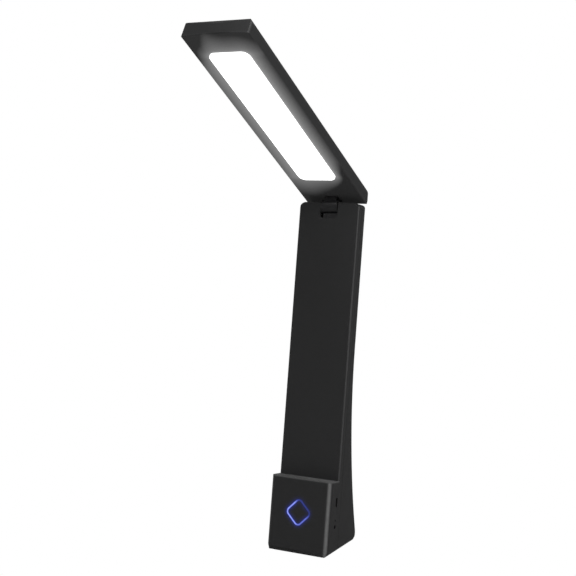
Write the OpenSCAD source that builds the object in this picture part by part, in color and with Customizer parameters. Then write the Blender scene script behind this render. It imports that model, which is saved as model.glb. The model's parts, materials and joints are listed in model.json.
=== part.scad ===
// Folding rechargeable desk lamp: a leaning column on a foot block, with a long flat head
// hinged at the top. The head folds down into the recess in front of the column.
// Origin: on the desk, in the middle of the rubber sole. +X right, +Y to the back, +Z up.

/* [Stand] */
// Angle by which the stand leans back from upright
lean = 9; // [7:0.5:11]
// Width of the foot block, the column and the head
body_w = 52; // [50:0.5:60]
// Length of the stand's front, from the front edge of the sole to the top of the column
column_h = 271.8; // [255:0.1:300]
// Thickness of the column from its face to its back
column_d = 14.6; // [14:0.1:17]
// Height of the foot block along its front
block_h = 57.5; // [55:0.5:64]
// Height at which the back starts to flare out
flare_from = 160; // [150:1:170]
// Radius of the flare
flare_r = 425; // [410:1:480]
// Wall of the two stand mouldings
wall = 2.4; // [2:0.1:2.6]
// Thickness of the rubber sole
sole_t = 0.8; // [0.6:0.1:1.5]
// Radius of the upright edges at the front of the foot block
block_round = 4.5; // [3:0.5:6]
// Radius of the upright edges at the front of the column
column_round = 1.5; // [0.5:0.1:2]
// Radius of the upright edges at the back
back_round = 5; // [3.5:0.5:6]
// Radius of the column's two top corners, seen from the front
top_round = 5.5; // [4:0.5:7]
// Radius of the edge along the back of the column's top
crown_round = 1.5; // [1:0.5:3]
// Radius of the edges round the bottom
sole_round = 2; // [1:0.1:2]
// Depth and width of the shadow line between the two mouldings
seam_gap = 0.4; // [0.2:0.1:0.6]

/* [Head] */
// Thickness of the head
head_t = 12.2; // [11.5:0.1:14]
// Gap between the folded head and the face of the column
fold_gap = 1.7; // [1.5:0.1:2.5]
// How far the folded head lies behind the front of the foot block
flush_gap = 0.3; // [0:0.1:1]
// Gap between the folded head's tip and the foot block
tip_gap = 0.9; // [0.7:0.1:2]
// Angle of the opened head above square to the column
head_raise = 23.2; // [20:0.2:25]
// Wall of the two head mouldings
head_wall = 1.8; // [1.4:0.1:2]
// Height of the light side's frame, from the light side to the parting line
frame_h = 2.4; // [2.2:0.1:3]
// Radius of the long edges on the outside of the head
head_round = 5; // [3:0.5:6]
// Radius of the edges on the light side
rim_round = 0.8; // [0.4:0.1:1.2]
// How far the tip bows outwards
tip_bow = 0.9; // [0.4:0.1:2]

/* [Light] */
// Width of the dark frame on each side of the lit window
window_side = 10.4; // [10:0.1:13]
// Distance from the hinge line to the near end of the window
window_from = 30.5; // [30:0.5:45]
// Distance from the tip of the head to the far end of the window
window_tip = 20.1; // [12:0.1:45]
// Corner radius of the window
window_round = 5.5; // [3:0.5:8]
// How far the diffuser stands proud of the light side
diffuser_proud = 1.0; // [0.3:0.1:1.1]
// Length of each LED along its bar
led_l = 2.8; // [1.5:0.1:4]
// Number of LEDs on each of the two bars
led_count = 18; // [8:1:24]

/* [Hinge] */
// Distance from the hinge line to the light side of the head
hinge_offset = 6.6; // [6.4:0.1:7.5]
// Depth of the hinge line below the top of the column
axis_drop = 2.8; // [2.6:0.1:4]
// Radius of the hinge barrel
barrel_r = 6; // [5:0.1:6.2]
// Length of the hinge barrel
barrel_w = 14; // [12:0.5:18]
// Radius of the hinge axle
axle_r = 1.5; // [1.4:0.1:1.8]
// Distance of the axle's ends from the sides of the column
axle_inset = 9; // [8.8:0.1:10]

/* [Touch switch] */
// Length of one side of the diamond light ring, over its outer edges
ring_side = 16.4; // [10:0.2:22]
// Width of the ring's line
ring_line = 1.3; // [0.8:0.1:2.5]
// Outer corner radius of the ring
ring_round = 3.8; // [2.5:0.1:5]
// Height of the ring's centre along the block's front
ring_h = 31.6; // [26:0.1:34]

/* [Charging] */
// Length of the charging socket's mouth
port_l = 7.4; // [5:0.1:9]
// Width of the charging socket's mouth
port_w = 2.6; // [2:0.1:3.2]
// Height of the socket's centre along the block
port_h = 41.3; // [36:0.1:44]
// Distance of the socket's centre behind the block's front
port_depth = 11.9; // [11.8:0.1:12.4]
// Radius of the upper indicator hole
small_light_r = 0.75; // [0.5:0.05:1.2]
// Radius of the lower indicator hole
large_light_r = 1.5; // [0.8:0.1:2]
// Height of the upper indicator along the block
small_light_h = 27.5; // [25:0.1:30]
// Height of the lower indicator along the block
large_light_h = 22.8; // [20:0.1:23]
// Length of the battery pack
pack_l = 60; // [40:1:80]
// Distance of the battery pack from the sides of the column
pack_inset = 9; // [8:0.5:14]
// Thickness of the battery pack
pack_t = 7.6; // [5:0.1:8]

/* [Hidden] */

// Fineness of large and small round shapes
fine = 64;
small_fine = 32;
// Overrun of cuts past a surface
over = 1;
// Free play between fitted pieces that don't turn
play = 0.15;
// Play of a turning fit, on the radius
run_play = 0.05;
// Play of a seat round a fixed axle, on the radius
seat_play = 0.03;

// Stand, in its leaning frame: X right, Y square to the front going back, Z up the column
block_d = head_t + fold_gap + flush_gap;
column_back = block_d + column_d;
axis_y = block_d - fold_gap + hinge_offset;
axis_z = column_h - axis_drop;
seam_y = axis_y;
half_w = body_w / 2;
axle_l = body_w - 2 * axle_inset;
pack_w = body_w - 2 * pack_inset;
rise = tan(lean);
// Centre of the flare's curve, in the leaning frame and upright
flare_y = column_back + flare_r;
flare_up_y = flare_y * cos(lean) + flare_from * sin(lean);
flare_up_z = flare_from * cos(lean) - flare_y * sin(lean);
// Back end of the sole, upright
sole_back = flare_up_y - sqrt(pow(flare_r, 2) - pow(flare_up_z, 2));
foot_mid = sole_back / 2;

// Head, in its own frame: origin on the hinge line, -Y towards the tip, +Z to the outside
head_reach = axis_z - block_h - tip_gap;
window_w = body_w - 2 * window_side;
window_l = head_reach - window_from - window_tip;
end_gap = 0.4;
head_tail = (column_back - end_gap - axis_y - hinge_offset * sin(head_raise)) / cos(head_raise);
head_pitch = head_raise + lean;
light_z = hinge_offset;
head_top = light_z + head_t;
outer_tail = head_tail - head_t * tan(head_raise);
tip_round = 4;
tip_corner = 3;
tail_round = 1.5;

module in_stand() {
    translate([0, -foot_mid, sole_t]) rotate([-lean, 0, 0]) children();
}
module on_sole() {
    translate([0, -foot_mid, sole_t]) children();
}
module in_head() {
    in_stand() translate([0, axis_y, axis_z]) rotate([-head_raise, 0, 0]) children();
}
// A box from its two corners
module span(low, high) {
    translate(low) cube(high - low);
}
// A rectangle from x0 to x1 and y0 to y1 with corner radii: low left, low right, high right, high left
module round_rect(x0, x1, y0, y1, radii) {
    corners = [[x0, y0, 1, 1], [x1, y0, -1, 1], [x1, y1, -1, -1], [x0, y1, 1, -1]];
    difference() {
        translate([x0, y0]) square([x1 - x0, y1 - y0]);
        for (i = [0:3])
            if (radii[i] > 0)
                translate([corners[i][0], corners[i][1]]) scale([corners[i][2], corners[i][3]])
                    difference() {
                        translate([-over, -over]) square([radii[i] + over, radii[i] + over]);
                        translate([radii[i], radii[i]]) circle(r = radii[i], $fn = fine);
                    }
    }
}
// A profile drawn in Y and Z, extruded along X from x0 to x1
module along_x(x0, x1) {
    translate([x0, 0, 0]) rotate([90, 0, 90]) linear_extrude(height = x1 - x0) children();
}
// A profile drawn in X and Z, extruded along Y from y0 to y1
module along_y(y0, y1) {
    translate([0, y1, 0]) rotate([90, 0, 0]) linear_extrude(height = y1 - y0) children();
}
// A cylinder along X from x0 to x1
module rod_x(r, x0, x1, fineness = small_fine) {
    translate([x0, 0, 0]) rotate([0, 90, 0]) cylinder(r = r, h = x1 - x0, $fn = fineness);
}
// A cylinder along Y from y0 to y1
module rod_y(r, y0, y1, fineness = small_fine) {
    translate([0, y1, 0]) rotate([90, 0, 0]) cylinder(r = r, h = y1 - y0, $fn = fineness);
}
// A cylinder along Z from z0 to z1
module rod_z(r, z0, z1, fineness = small_fine) {
    translate([0, 0, z0]) cylinder(r = r, h = z1 - z0, $fn = fineness);
}
// A countersunk screw along +Z with its head at the bottom, at z = 0
module screw(head_r, shank_r, length) {
    head_h = head_r - shank_r;
    difference() {
        union() {
            cylinder(r1 = head_r, r2 = shank_r, h = head_h, $fn = small_fine);
            rod_z(shank_r, 0, length);
        }
        drive = head_r / 2;
        slot = head_r / 4;
        span([-drive, -slot / 2, -over], [drive, slot / 2, head_h / 2]);
        span([-slot / 2, -drive, -over], [slot / 2, drive, head_h / 2]);
    }
}
// A pan screw along -Y with its head on the plane y = 0, shank going to -Y
module pan_screw(head_r, shank_r, length) {
    head_h = head_r * pan_share;
    difference() {
        union() {
            rod_y(head_r, 0, head_h);
            rod_y(shank_r, -length, 0);
        }
        slot = head_r / 4;
        span([-head_r / 2, head_h / 2, -slot / 2], [head_r / 2, head_h + over, slot / 2]);
        span([-slot / 2, head_h / 2, -head_r / 2], [slot / 2, head_h + over, head_r / 2]);
    }
}
pan_share = 0.6;
screw_r = 1;
screw_head_r = 1.9;
pilot_r = screw_r;

// Sole: base cover, its bosses and screws, upright with the rubber's top at z = 0
cover_t = 2.2;
cover_gap = 0.35;
cover_top = cover_t;
cover_x = half_w - wall - cover_gap;
cover_front = wall / cos(lean) + cover_top * rise + cover_gap;
cover_back = sole_back - wall - cover_gap - cover_top * (flare_up_z / flare_r);
cover_round = 2.2;
boss_r = 3.2;
boss_x = half_w - wall - boss_r + play;
boss_front_y = cover_front + boss_r + cover_gap;
boss_back_y = cover_back - boss_r - 4 * cover_gap;
boss_top = 12;
base_screw_l = 9;

// Main board, seated on posts in the foot block
board_t = 1.6;
board_back = port_depth - port_w / 2 - play;
board_front = board_back - board_t;
board_gap = 1.5;
board_x = half_w - wall - board_gap;
board_low = 14.5;
board_top_gap = 4.5;
board_high = block_h - board_top_gap;
post_r = 2.4;
post_inset = 3;
post_x = board_x - post_r - post_inset;
post_low = board_low + post_r + play;
post_high = board_high - post_r - play;
socket_deep = 5.4;
socket_wall = 0.3;

// Hinge seats in the column
notch_play = 0.5;
notch_half = barrel_w / 2 + notch_play;
barrel_room = 1.5;
floor_room = 3.3;
notch_low = barrel_r + floor_room;
notch_round = 2.5;
chamber_back = axis_y + barrel_r + barrel_room;
saddle_end = axle_l / 2 + play;
saddle_low = 12;
clamp_t = 2.6;
clamp_rim = 0.4;
clamp_top = axle_r + clamp_rim;
clamp_gap = 0.3;
clamp_low = saddle_low - clamp_gap;
clamp_start = notch_half + clamp_gap;
clamp_screw_z = 6.2;
clamp_screw_x = (clamp_start + axle_l / 2) / 2;
top_skin = axis_drop - clamp_top - clamp_gap;

// Hinge knuckle on the head
neck_half = 5.25;
neck_front = 5.5;
neck_back = 3.5;
leaf_back = 3;
sleeve_t = 0.65;
sleeve_in = axle_r + run_play;
sleeve_out = sleeve_in + sleeve_t;
lead_r = 0.7;
lead_hole_r = 0.95;
leaf_t = 2.5;
leaf_half = 15;
leaf_reach = 23;
leaf_z = light_z + head_wall;
leaf_top = leaf_z + leaf_t;
leaf_corner = 3;
leaf_shares = [[-0.72, 0.2], [0.72, 0.2], [-0.72, 0.83], [0.72, 0.83]];

// Light stack, counted up from the light side
flange = 3;
flange_t = 1;
guide_t = 2;
sheet_t = 0.3;
spreader_t = 1.2;
flange_top = light_z + head_wall + flange_t;
guide_top = flange_top + guide_t;
sheet_top = guide_top + sheet_t;
spreader_top = sheet_top + spreader_t;
window_to = window_from + window_l;
guide_lap = 2.4;
guide_half = window_w / 2 + guide_lap;
chip_t = 0.8;
bar_t = 1.2;
cover_in_top = head_top - head_wall;

// Front moulding's outside, before it is hollowed
module front_form() {
    intersection() {
        union() {
            translate([0, 0, -over]) linear_extrude(height = block_h + over)
                round_rect(-half_w, half_w, 0, seam_y, [block_round, block_round, 0, 0]);
            linear_extrude(height = column_h)
                round_rect(-half_w, half_w, block_d, seam_y, [column_round, column_round, 0, 0]);
        }
        along_y(-over, seam_y) round_rect(-half_w, half_w, -over, column_h, [0, 0, top_round, top_round]);
        rotate([lean, 0, 0]) along_y(-over, column_back + sole_back)
            round_rect(-half_w, half_w, 0, column_h + over, [sole_round, sole_round, 0, 0]);
    }
}
// What is cut away to round the front edge of the sole, upright
module toe_cut() {
    r = sole_round;
    mid_y = r * (1 + sin(lean)) / cos(lean);
    touch = [mid_y - r * cos(lean), r + r * sin(lean)];
    along_x(-half_w - over, half_w + over) difference() {
        polygon([[-over, -over], [mid_y, -over], [mid_y, r], touch, [-over, 0]]);
        translate([mid_y, r]) circle(r = r, $fn = fine);
    }
}
// What is cut away to round the back edge of the sole, upright, where it meets the flare
module heel_cut() {
    r = sole_round;
    mid_y = flare_up_y - sqrt(pow(flare_r + r, 2) - pow(flare_up_z - r, 2));
    share = r / (flare_r + r);
    touch = [mid_y + share * (flare_up_y - mid_y), r + share * (flare_up_z - r)];
    along_x(-half_w - over, half_w + over) difference() {
        polygon([[mid_y, -over], [sole_back + over, -over], [sole_back + over, touch[1]], touch,
            [mid_y, r]]);
        translate([mid_y, r]) circle(r = r, $fn = fine);
    }
}
module front_shell() {
    in_x = half_w - wall;
    in_round = block_round - wall;
    color([0.16, 0.16, 0.165]) in_stand() difference() {
        union() {
            difference() {
                front_form();
                rotate([lean, 0, 0]) toe_cut();
                translate([0, 0, -over]) linear_extrude(height = block_h - wall + over)
                    round_rect(-in_x, in_x, wall, seam_y + over, [in_round, in_round, 0, 0]);
                span([-in_x, block_d + wall, 0], [in_x, seam_y + over, column_h - wall]);
            }
            // Posts for the main board
            for (x = [-post_x, post_x], z = [post_low, post_high])
                translate([x, 0, z]) rod_y(post_r, wall / 2, board_front);
            // Saddles for the axle and the floor below the barrel
            for (side = [0, 1]) mirror([side, 0, 0])
                span([notch_half, block_d + wall / 2, axis_z - saddle_low],
                    [saddle_end, seam_y, column_h - wall / 2]);
            span([-notch_half, block_d + wall / 2, axis_z - saddle_low],
                [notch_half, column_back - wall - play, axis_z - notch_low]);
            // Bosses for the base screws
            intersection() {
                rotate([lean, 0, 0]) for (x = [-boss_x, boss_x]) translate([x, boss_front_y, 0])
                    rod_z(boss_r, cover_top, boss_top);
                span([-in_x - play, wall / 2, -over], [in_x + play, seam_y, block_h]);
            }
        }
        // Notch for the barrel
        along_y(block_d - over, seam_y + over)
            round_rect(-notch_half, notch_half, axis_z - notch_low, column_h + over,
                [notch_round, notch_round, 0, 0]);
        // Seat of the axle, room for the lead beside it, and the screw holes of the clamps
        axle_lead_room();
        translate([0, axis_y, axis_z]) rod_x(axle_r + seat_play, -axle_l / 2 - seat_play,
            axle_l / 2 + seat_play);
        for (x = [-clamp_screw_x, clamp_screw_x])
            translate([x, 0, axis_z - clamp_screw_z]) rod_y(pilot_r, block_d + wall, seam_y + over);
        // Screw holes of the board and of the base cover
        for (x = [-post_x, post_x], z = [post_low, post_high])
            translate([x, 0, z]) rod_y(pilot_r, wall, board_front + over);
        rotate([lean, 0, 0]) for (x = [-boss_x, boss_x])
            translate([x, boss_front_y, 0]) rod_z(pilot_r, 0, base_screw_l + play);
        // Opening of the light ring
        translate([0, 0, ring_h]) along_y(-over, wall + over) diamond(ring_side, ring_round);
        // Charging slot and the two indicator holes
        translate([0, port_depth, port_h]) along_x(in_x - over, half_w + over)
            round_rect(-port_w / 2, port_w / 2, -port_l / 2, port_l / 2, port_rounds);
        for (light = lights)
            translate([0, port_depth, light[1]]) rod_x(light[0], in_x - over, half_w + over);
    }
}
// Room where the lead turns into the end of the axle
module axle_lead_room() {
    translate([0, axis_y, axis_z]) rod_x(lead_r + play, -lamp_lead_x, 0);
}
port_rounds = [port_w, port_w, port_w / 2, port_w / 2] / 2;
lights = [[small_light_r, small_light_h], [large_light_r, large_light_h]];
// A square of the given side standing on its corner
module diamond(side, r) {
    rotate([0, 0, 45]) round_rect(-side / 2, side / 2, -side / 2, side / 2, [r, r, r, r]);
}
// Body swept down the back, straight and then round the flare; inset draws it in
module back_sweep(inset) {
    translate([0, column_back - inset, flare_from])
        linear_extrude(height = column_h - flare_from + over) back_section(inset);
    translate([0, flare_y, flare_from]) rotate([0, 90, 0]) rotate([0, 0, -90])
        rotate_extrude(angle = asin(flare_from / flare_r), $fn = 12 * fine)
            translate([flare_r + inset, 0]) rotate([0, 0, 90]) back_section(inset);
}
// Section of the sweep: its back on the line y = 0, the rest towards -Y
module back_section(inset) {
    side = half_w - inset;
    r = back_round - inset;
    round_rect(-side, side, -sole_back, 0, [0, 0, r, r]);
}
// Rear moulding's outside, before it is hollowed
module rear_form() {
    difference() {
        intersection() {
            back_sweep(0);
            along_y(seam_y, sole_back + over)
                round_rect(-half_w, half_w, -over, column_h, [0, 0, top_round, top_round]);
            rotate([lean, 0, 0]) along_y(-over, column_back + sole_back)
                round_rect(-half_w, half_w, 0, column_h + over, [sole_round, sole_round, 0, 0]);
        }
        rotate([lean, 0, 0]) heel_cut();
        // Rounded edge along the back of the top
        along_x(-half_w - over, half_w + over) difference() {
            translate([column_back - crown_round, column_h - crown_round])
                square([crown_round + over, crown_round + over]);
            translate([column_back - crown_round, column_h - crown_round])
                circle(r = crown_round, $fn = fine);
        }
        // Shadow line along the seam
        for (side = [0, 1]) mirror([side, 0, 0])
            span([half_w - seam_gap, seam_y - over, 0], [half_w + over, seam_y + seam_gap, column_h]);
    }
}
tab_t = 1.2;
tab_half = 4;
tab_heights = [for (i = [1:4]) block_h + (column_h - block_h) * i / 5];
module rear_shell() {
    in_x = half_w - wall;
    color([0.16, 0.16, 0.165]) in_stand() difference() {
        union() {
            difference() {
                rear_form();
                intersection() {
                    back_sweep(wall);
                    span([-half_w, seam_y - over, -sole_back], [half_w, sole_back, column_h - wall]);
                }
            }
            rotate([lean, 0, 0]) for (x = [-boss_x, boss_x]) translate([x, boss_back_y, 0])
                rod_z(boss_r, cover_top, boss_top);
            // Tabs that snap behind the front moulding's sides
            for (side = [0, 1], z = tab_heights) mirror([side, 0, 0]) {
                span([in_x - play - tab_t, block_d + wall + play, z - tab_half],
                    [in_x - play, seam_y + tab_half, z + tab_half]);
                span([in_x - play - tab_t, seam_y + play, z - tab_half],
                    [in_x + wall / 2, seam_y + tab_half, z + tab_half]);
            }
        }
        rotate([lean, 0, 0]) for (x = [-boss_x, boss_x])
            translate([x, boss_back_y, 0]) rod_z(pilot_r, 0, base_screw_l + play);
        // Room for the barrel, the axle clamps and the lead below the top
        span([-notch_half, seam_y - over, axis_z - notch_low], [notch_half, chamber_back, column_h + over]);
        span([-saddle_end, seam_y - over, column_h - wall - over],
            [saddle_end, seam_y + clamp_t + clamp_gap, column_h - top_skin]);
        axle_lead_room();
    }
}
module sole_outline(inset) {
    r = cover_round;
    round_rect(-cover_x + inset, cover_x - inset, cover_front + inset, cover_back - inset, [r, r, r, r]);
}
module base_cover() {
    color([0.14, 0.14, 0.145]) on_sole() difference() {
        linear_extrude(height = cover_t) sole_outline(0);
        for (x = [-boss_x, boss_x], y = [boss_front_y, boss_back_y])
            translate([x, y, 0]) screw_seat(cover_t);
        for (x = [-ballast_screw_x, ballast_screw_x])
            translate([x, ballast_mid, 0]) screw_seat(cover_t);
    }
}
// Hole and countersink for a screw whose head lies at z = 0
module screw_seat(plate_t) {
    rod_z(screw_r + play, -over, plate_t + over);
    sink = screw_head_r - screw_r + play;
    cylinder(r1 = screw_head_r + play, r2 = screw_r + play, h = sink, $fn = small_fine);
    rod_z(screw_head_r + play, -over, 0);
}
module foot_pad() {
    color([0.1, 0.1, 0.1]) on_sole() translate([0, 0, -sole_t])
        linear_extrude(height = sole_t) sole_outline(pad_inset);
}
pad_inset = 0.8;
// Steel weight on the base cover
ballast_inset = 10;
ballast_x = half_w - ballast_inset;
ballast_l = 22;
ballast_back = boss_back_y - boss_r / 2;
ballast_front = ballast_back - ballast_l;
ballast_mid = (ballast_front + ballast_back) / 2;
ballast_high = 30;
ballast_round = 2;
ballast_screw_x = 10;
module ballast_block() {
    r = ballast_round;
    color([0.55, 0.56, 0.58]) on_sole() difference() {
        translate([0, 0, cover_top]) linear_extrude(height = ballast_high)
            round_rect(-ballast_x, ballast_x, ballast_front, ballast_back, [r, r, r, r]);
        for (x = [-ballast_screw_x, ballast_screw_x])
            translate([x, ballast_mid, 0]) rod_z(screw_r + seat_play, 0, base_screw_l + play);
    }
}
module base_screws() {
    color([0.6, 0.61, 0.63]) on_sole() for (x = [-boss_x, boss_x], y = [boss_front_y, boss_back_y])
        translate([x, y, 0]) screw(screw_head_r, screw_r - seat_play, base_screw_l);
}
module ballast_screws() {
    color([0.6, 0.61, 0.63]) on_sole() for (x = [-ballast_screw_x, ballast_screw_x])
        translate([x, ballast_mid, 0]) screw(screw_head_r, screw_r, base_screw_l);
}
// Flat battery pack taped to the inside of the column's face
pack_z = 66;
pack_y = block_d + wall;
pack_round = 2.5;
module battery_pack() {
    r = pack_round;
    color([0.2, 0.36, 0.62]) in_stand() intersection() {
        along_y(pack_y, pack_y + pack_t)
            round_rect(-pack_w / 2, pack_w / 2, pack_z, pack_z + pack_l, [r, r, r, r]);
        translate([0, 0, pack_z]) linear_extrude(height = pack_l)
            round_rect(-pack_w / 2, pack_w / 2, pack_y, pack_y + pack_t, [r, r, r, r]);
    }
}
// A lead that runs down at [x, y] from z_top, bends forward and ends on the board at y_end
lead_bend = 3;
module drop_lead(x, y, z_top, z_low, y_end, r) {
    translate([x, y, 0]) rod_z(r, z_low + lead_bend, z_top, small_fine);
    translate([x, y - lead_bend, z_low + lead_bend]) rotate([0, 90, 0])
        rotate_extrude(angle = 90, $fn = small_fine) translate([lead_bend, 0])
            circle(r = r, $fn = small_fine);
    translate([x, 0, z_low]) rod_y(r, y_end, y - lead_bend, small_fine);
}
battery_lead_x = 8;
plug_t = 3.2;
plug_w = 6;
plug_h = 4;
lead_drop = 10;
lead_low = board_high - lead_drop;
module battery_lead() {
    color([0.7, 0.1, 0.1]) in_stand()
        drop_lead(battery_lead_x, pack_y + pack_t / 2, pack_z, lead_low, board_back + plug_t, lead_r);
}
module main_board() {
    color([0.07, 0.3, 0.16]) in_stand() difference() {
        span([-board_x, board_front, board_low], [board_x, board_back, board_high]);
        for (x = [-post_x, post_x], z = [post_low, post_high])
            translate([x, 0, z]) rod_y(screw_r + play, board_front - over, board_back + over);
    }
}
module board_parts() {
    chip = 7;
    chip_h = 1.1;
    coil_r = 3.4;
    coil_h = 3;
    color([0.12, 0.12, 0.13]) in_stand() {
        // Plugs of the battery lead and the lamp lead
        for (x = [battery_lead_x, plug_w / 4 - lamp_lead_x])
            span([x - plug_w / 2, board_back, lead_low - plug_h / 2],
                [x + plug_w / 2, board_back + plug_t, lead_low + plug_h / 2]);
        // Charging and touch controllers, inductor and two indicator LEDs
        for (z = [ring_h - chip, ring_h + chip / 2])
            span([-chip, board_back, z - chip / 2], [0, board_back + chip_h, z + chip / 2]);
        translate([-2 * chip, 0, ring_h]) rod_y(coil_r, board_back, board_back + coil_h);
        for (light = lights)
            span([lens_in - lens_gap - light_chip, board_back, light[1] - light_chip / 2],
                [lens_in - lens_gap, board_back + port_w / 2 + play + light_chip / 2,
                    light[1] + light_chip / 2]);
    }
}
light_chip = 1.6;
lens_gap = 0.3;
lens_skirt = 0.8;
lens_t = 1.2;
lens_in = half_w - wall - lens_t;
board_screw_l = 5;
module board_screws() {
    color([0.6, 0.61, 0.63]) in_stand() for (x = [-post_x, post_x], z = [post_low, post_high])
        translate([x, board_back, z]) pan_screw(screw_head_r, screw_r - seat_play, board_screw_l);
}
module port_outline(grow) {
    round_rect(-port_w / 2 - grow, port_w / 2 + grow, -port_l / 2 - grow, port_l / 2 + grow,
        port_rounds + [grow, grow, grow, grow]);
}
// Metal socket: its mouth stands in the slot just below the surface
mouth_in = 0.5;
tongue_in = 1;
module charging_socket() {
    end = half_w - mouth_in;
    back = end - socket_deep;
    lip = half_w - wall - play;
    color([0.72, 0.73, 0.75]) in_stand() translate([0, port_depth, port_h]) difference() {
        union() {
            along_x(back, lip) port_outline(play);
            along_x(lip - over, end) port_outline(-play / 2);
        }
        along_x(back + socket_wall, end + over) port_outline(-socket_wall);
    }
}
module socket_tongue() {
    end = half_w - mouth_in - tongue_in;
    back = half_w - mouth_in - socket_deep + socket_wall;
    color([0.1, 0.1, 0.11]) in_stand() translate([0, port_depth, port_h])
        span([back, -port_w / 8, -port_l / 3], [end, port_w / 8, port_l / 3]);
}
// Smoked light pipes in the two round holes
module indicator_lights() {
    color([0.12, 0.12, 0.13]) in_stand() for (light = lights)
        translate([0, port_depth, light[1]]) {
            rod_x(light[0] - seat_play, half_w - wall, half_w - seam_gap);
            rod_x(light[0] + lens_skirt * light[0] / large_light_r, lens_in, half_w - wall);
        }
}
// Translucent ring flush with the block's front, with a flange behind the wall
guide_flange = 1.2;
module ring_light_guide() {
    color([0.25, 0.35, 0.95]) in_stand() translate([0, 0, ring_h]) {
        along_y(0, wall) difference() {
            diamond(ring_side - 2 * seat_play, ring_round - seat_play);
            diamond(ring_side - 2 * ring_line + 2 * seat_play, ring_round - ring_line + seat_play);
        }
        along_y(wall, wall + guide_flange) difference() {
            diamond(ring_side + guide_flange, ring_round + guide_flange / 2);
            diamond(ring_side - 2 * ring_line - guide_flange, ring_round - ring_line - guide_flange / 2);
        }
    }
}
ring_led = 2;
ring_led_t = 0.8;
module ring_leds() {
    reach = (ring_side - ring_line) / 2 / sqrt(2);
    color([0.9, 0.9, 0.85]) in_stand() for (sx = [-1, 1], sz = [-1, 1])
        translate([sx * reach, 0, ring_h + sz * reach])
            span([-ring_led / 2, board_front - ring_led_t, -ring_led / 2],
                [ring_led / 2, board_front, ring_led / 2]);
}
// Touch surface that fills the middle of the ring, seated on the ring's flange
module touch_cap() {
    side = ring_side - 2 * ring_line - 2 * seat_play;
    color([0.16, 0.16, 0.165]) in_stand() translate([0, 0, ring_h])
        along_y(0, wall) diamond(side, ring_round - ring_line);
}
// Copper touch plate inside the ring and the conductive foam that joins it to the board
touch_t = 0.3;
touch_side = 9;
touch_corner = 1;
foam_side = 7.4;
module touch_plate() {
    color([0.75, 0.45, 0.25]) in_stand() translate([0, 0, ring_h])
        along_y(wall, wall + touch_t) diamond(touch_side, touch_corner);
}
module touch_foam() {
    color([0.3, 0.3, 0.32]) in_stand() translate([0, 0, ring_h])
        along_y(wall + touch_t, board_front) diamond(foam_side, touch_corner);
}
// Hollow axle, open on one side in the middle where the lead leaves it
module hinge_axle() {
    color([0.66, 0.67, 0.7]) in_stand() translate([0, axis_y, axis_z]) difference() {
        rod_x(axle_r, -axle_l / 2, axle_l / 2, fine);
        rod_x(lead_hole_r - run_play, -axle_l / 2 - over, axle_l / 2 + over);
        rotate([(90 - head_raise) / 2, 0, 0])
            span([-lead_window, -axle_r - over, 2 * run_play], [lead_window, axle_r + over, axle_r + over]);
    }
}
lead_window = 1.2;
// Two steel clamps that hold the axle in its saddles
module axle_clamps() {
    color([0.6, 0.61, 0.63]) in_stand() translate([0, axis_y, axis_z]) difference() {
        for (side = [0, 1]) mirror([side, 0, 0])
            span([clamp_start, 0, -clamp_low], [axle_l / 2, clamp_t, clamp_top]);
        rod_x(axle_r + seat_play, -axle_l, axle_l);
        for (x = [-clamp_screw_x, clamp_screw_x])
            translate([x, 0, -clamp_screw_z]) rod_y(screw_r + play, -over, clamp_t + over);
    }
}
module clamp_screws() {
    color([0.6, 0.61, 0.63]) in_stand() for (x = [-clamp_screw_x, clamp_screw_x])
        translate([x, axis_y + clamp_t, axis_z - clamp_screw_z])
            pan_screw(screw_head_r, screw_r - seat_play, clamp_t + seam_y - block_d - wall - play);
}
module hinge_washers() {
    washer_r = 3.4;
    color([0.75, 0.74, 0.7]) in_stand() translate([0, axis_y, axis_z])
        for (side = [0, 1]) mirror([side, 0, 0]) difference() {
            rod_x(washer_r, barrel_w / 2 + run_play, notch_half - run_play);
            rod_x(axle_r + run_play, 0, notch_half + over);
        }
}
// Lead from the board up beside the battery pack, and through the axle to its middle
lamp_lead_x = half_w - wall - 2.2;
module lamp_lead() {
    side = lamp_lead_x;
    top_bend = 2.5;
    color([0.85, 0.85, 0.83]) in_stand() mirror([1, 0, 0]) {
        drop_lead(side, axis_y, axis_z - top_bend, lead_low, board_back + plug_t, lead_r);
        translate([side - top_bend, axis_y, axis_z - top_bend]) rotate([90, 0, 0])
            rotate_extrude(angle = 90, $fn = small_fine) translate([top_bend, 0])
                circle(r = lead_r, $fn = small_fine);
        translate([0, axis_y, axis_z]) rod_x(lead_r, lead_r + 2 * run_play, side - top_bend);
    }
}
// Outside of the whole head
module head_form() {
    bow_r = (pow(half_w, 2) + pow(tip_bow, 2)) / (2 * tip_bow);
    intersection() {
        along_y(-head_reach - over, head_tail + over)
            round_rect(-half_w, half_w, light_z, head_top, [rim_round, rim_round, head_round, head_round]);
        translate([0, 0, light_z - over]) linear_extrude(height = head_t + 2 * over) intersection() {
            round_rect(-half_w, half_w, -head_reach, head_tail,
                [tip_corner, tip_corner, tail_round, tail_round]);
            translate([0, bow_r - head_reach]) circle(r = bow_r, $fn = 6 * fine);
        }
        along_x(-half_w - over, half_w + over) difference() {
            round_rect(-head_reach, head_tail, light_z, head_top, [rim_round, tail_round, 0, tip_round]);
            polygon([[outer_tail, head_top + over], [outer_tail, head_top], [head_tail, light_z],
                [head_tail + over, light_z], [head_tail + over, head_top + over]]);
        }
    }
}
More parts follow.
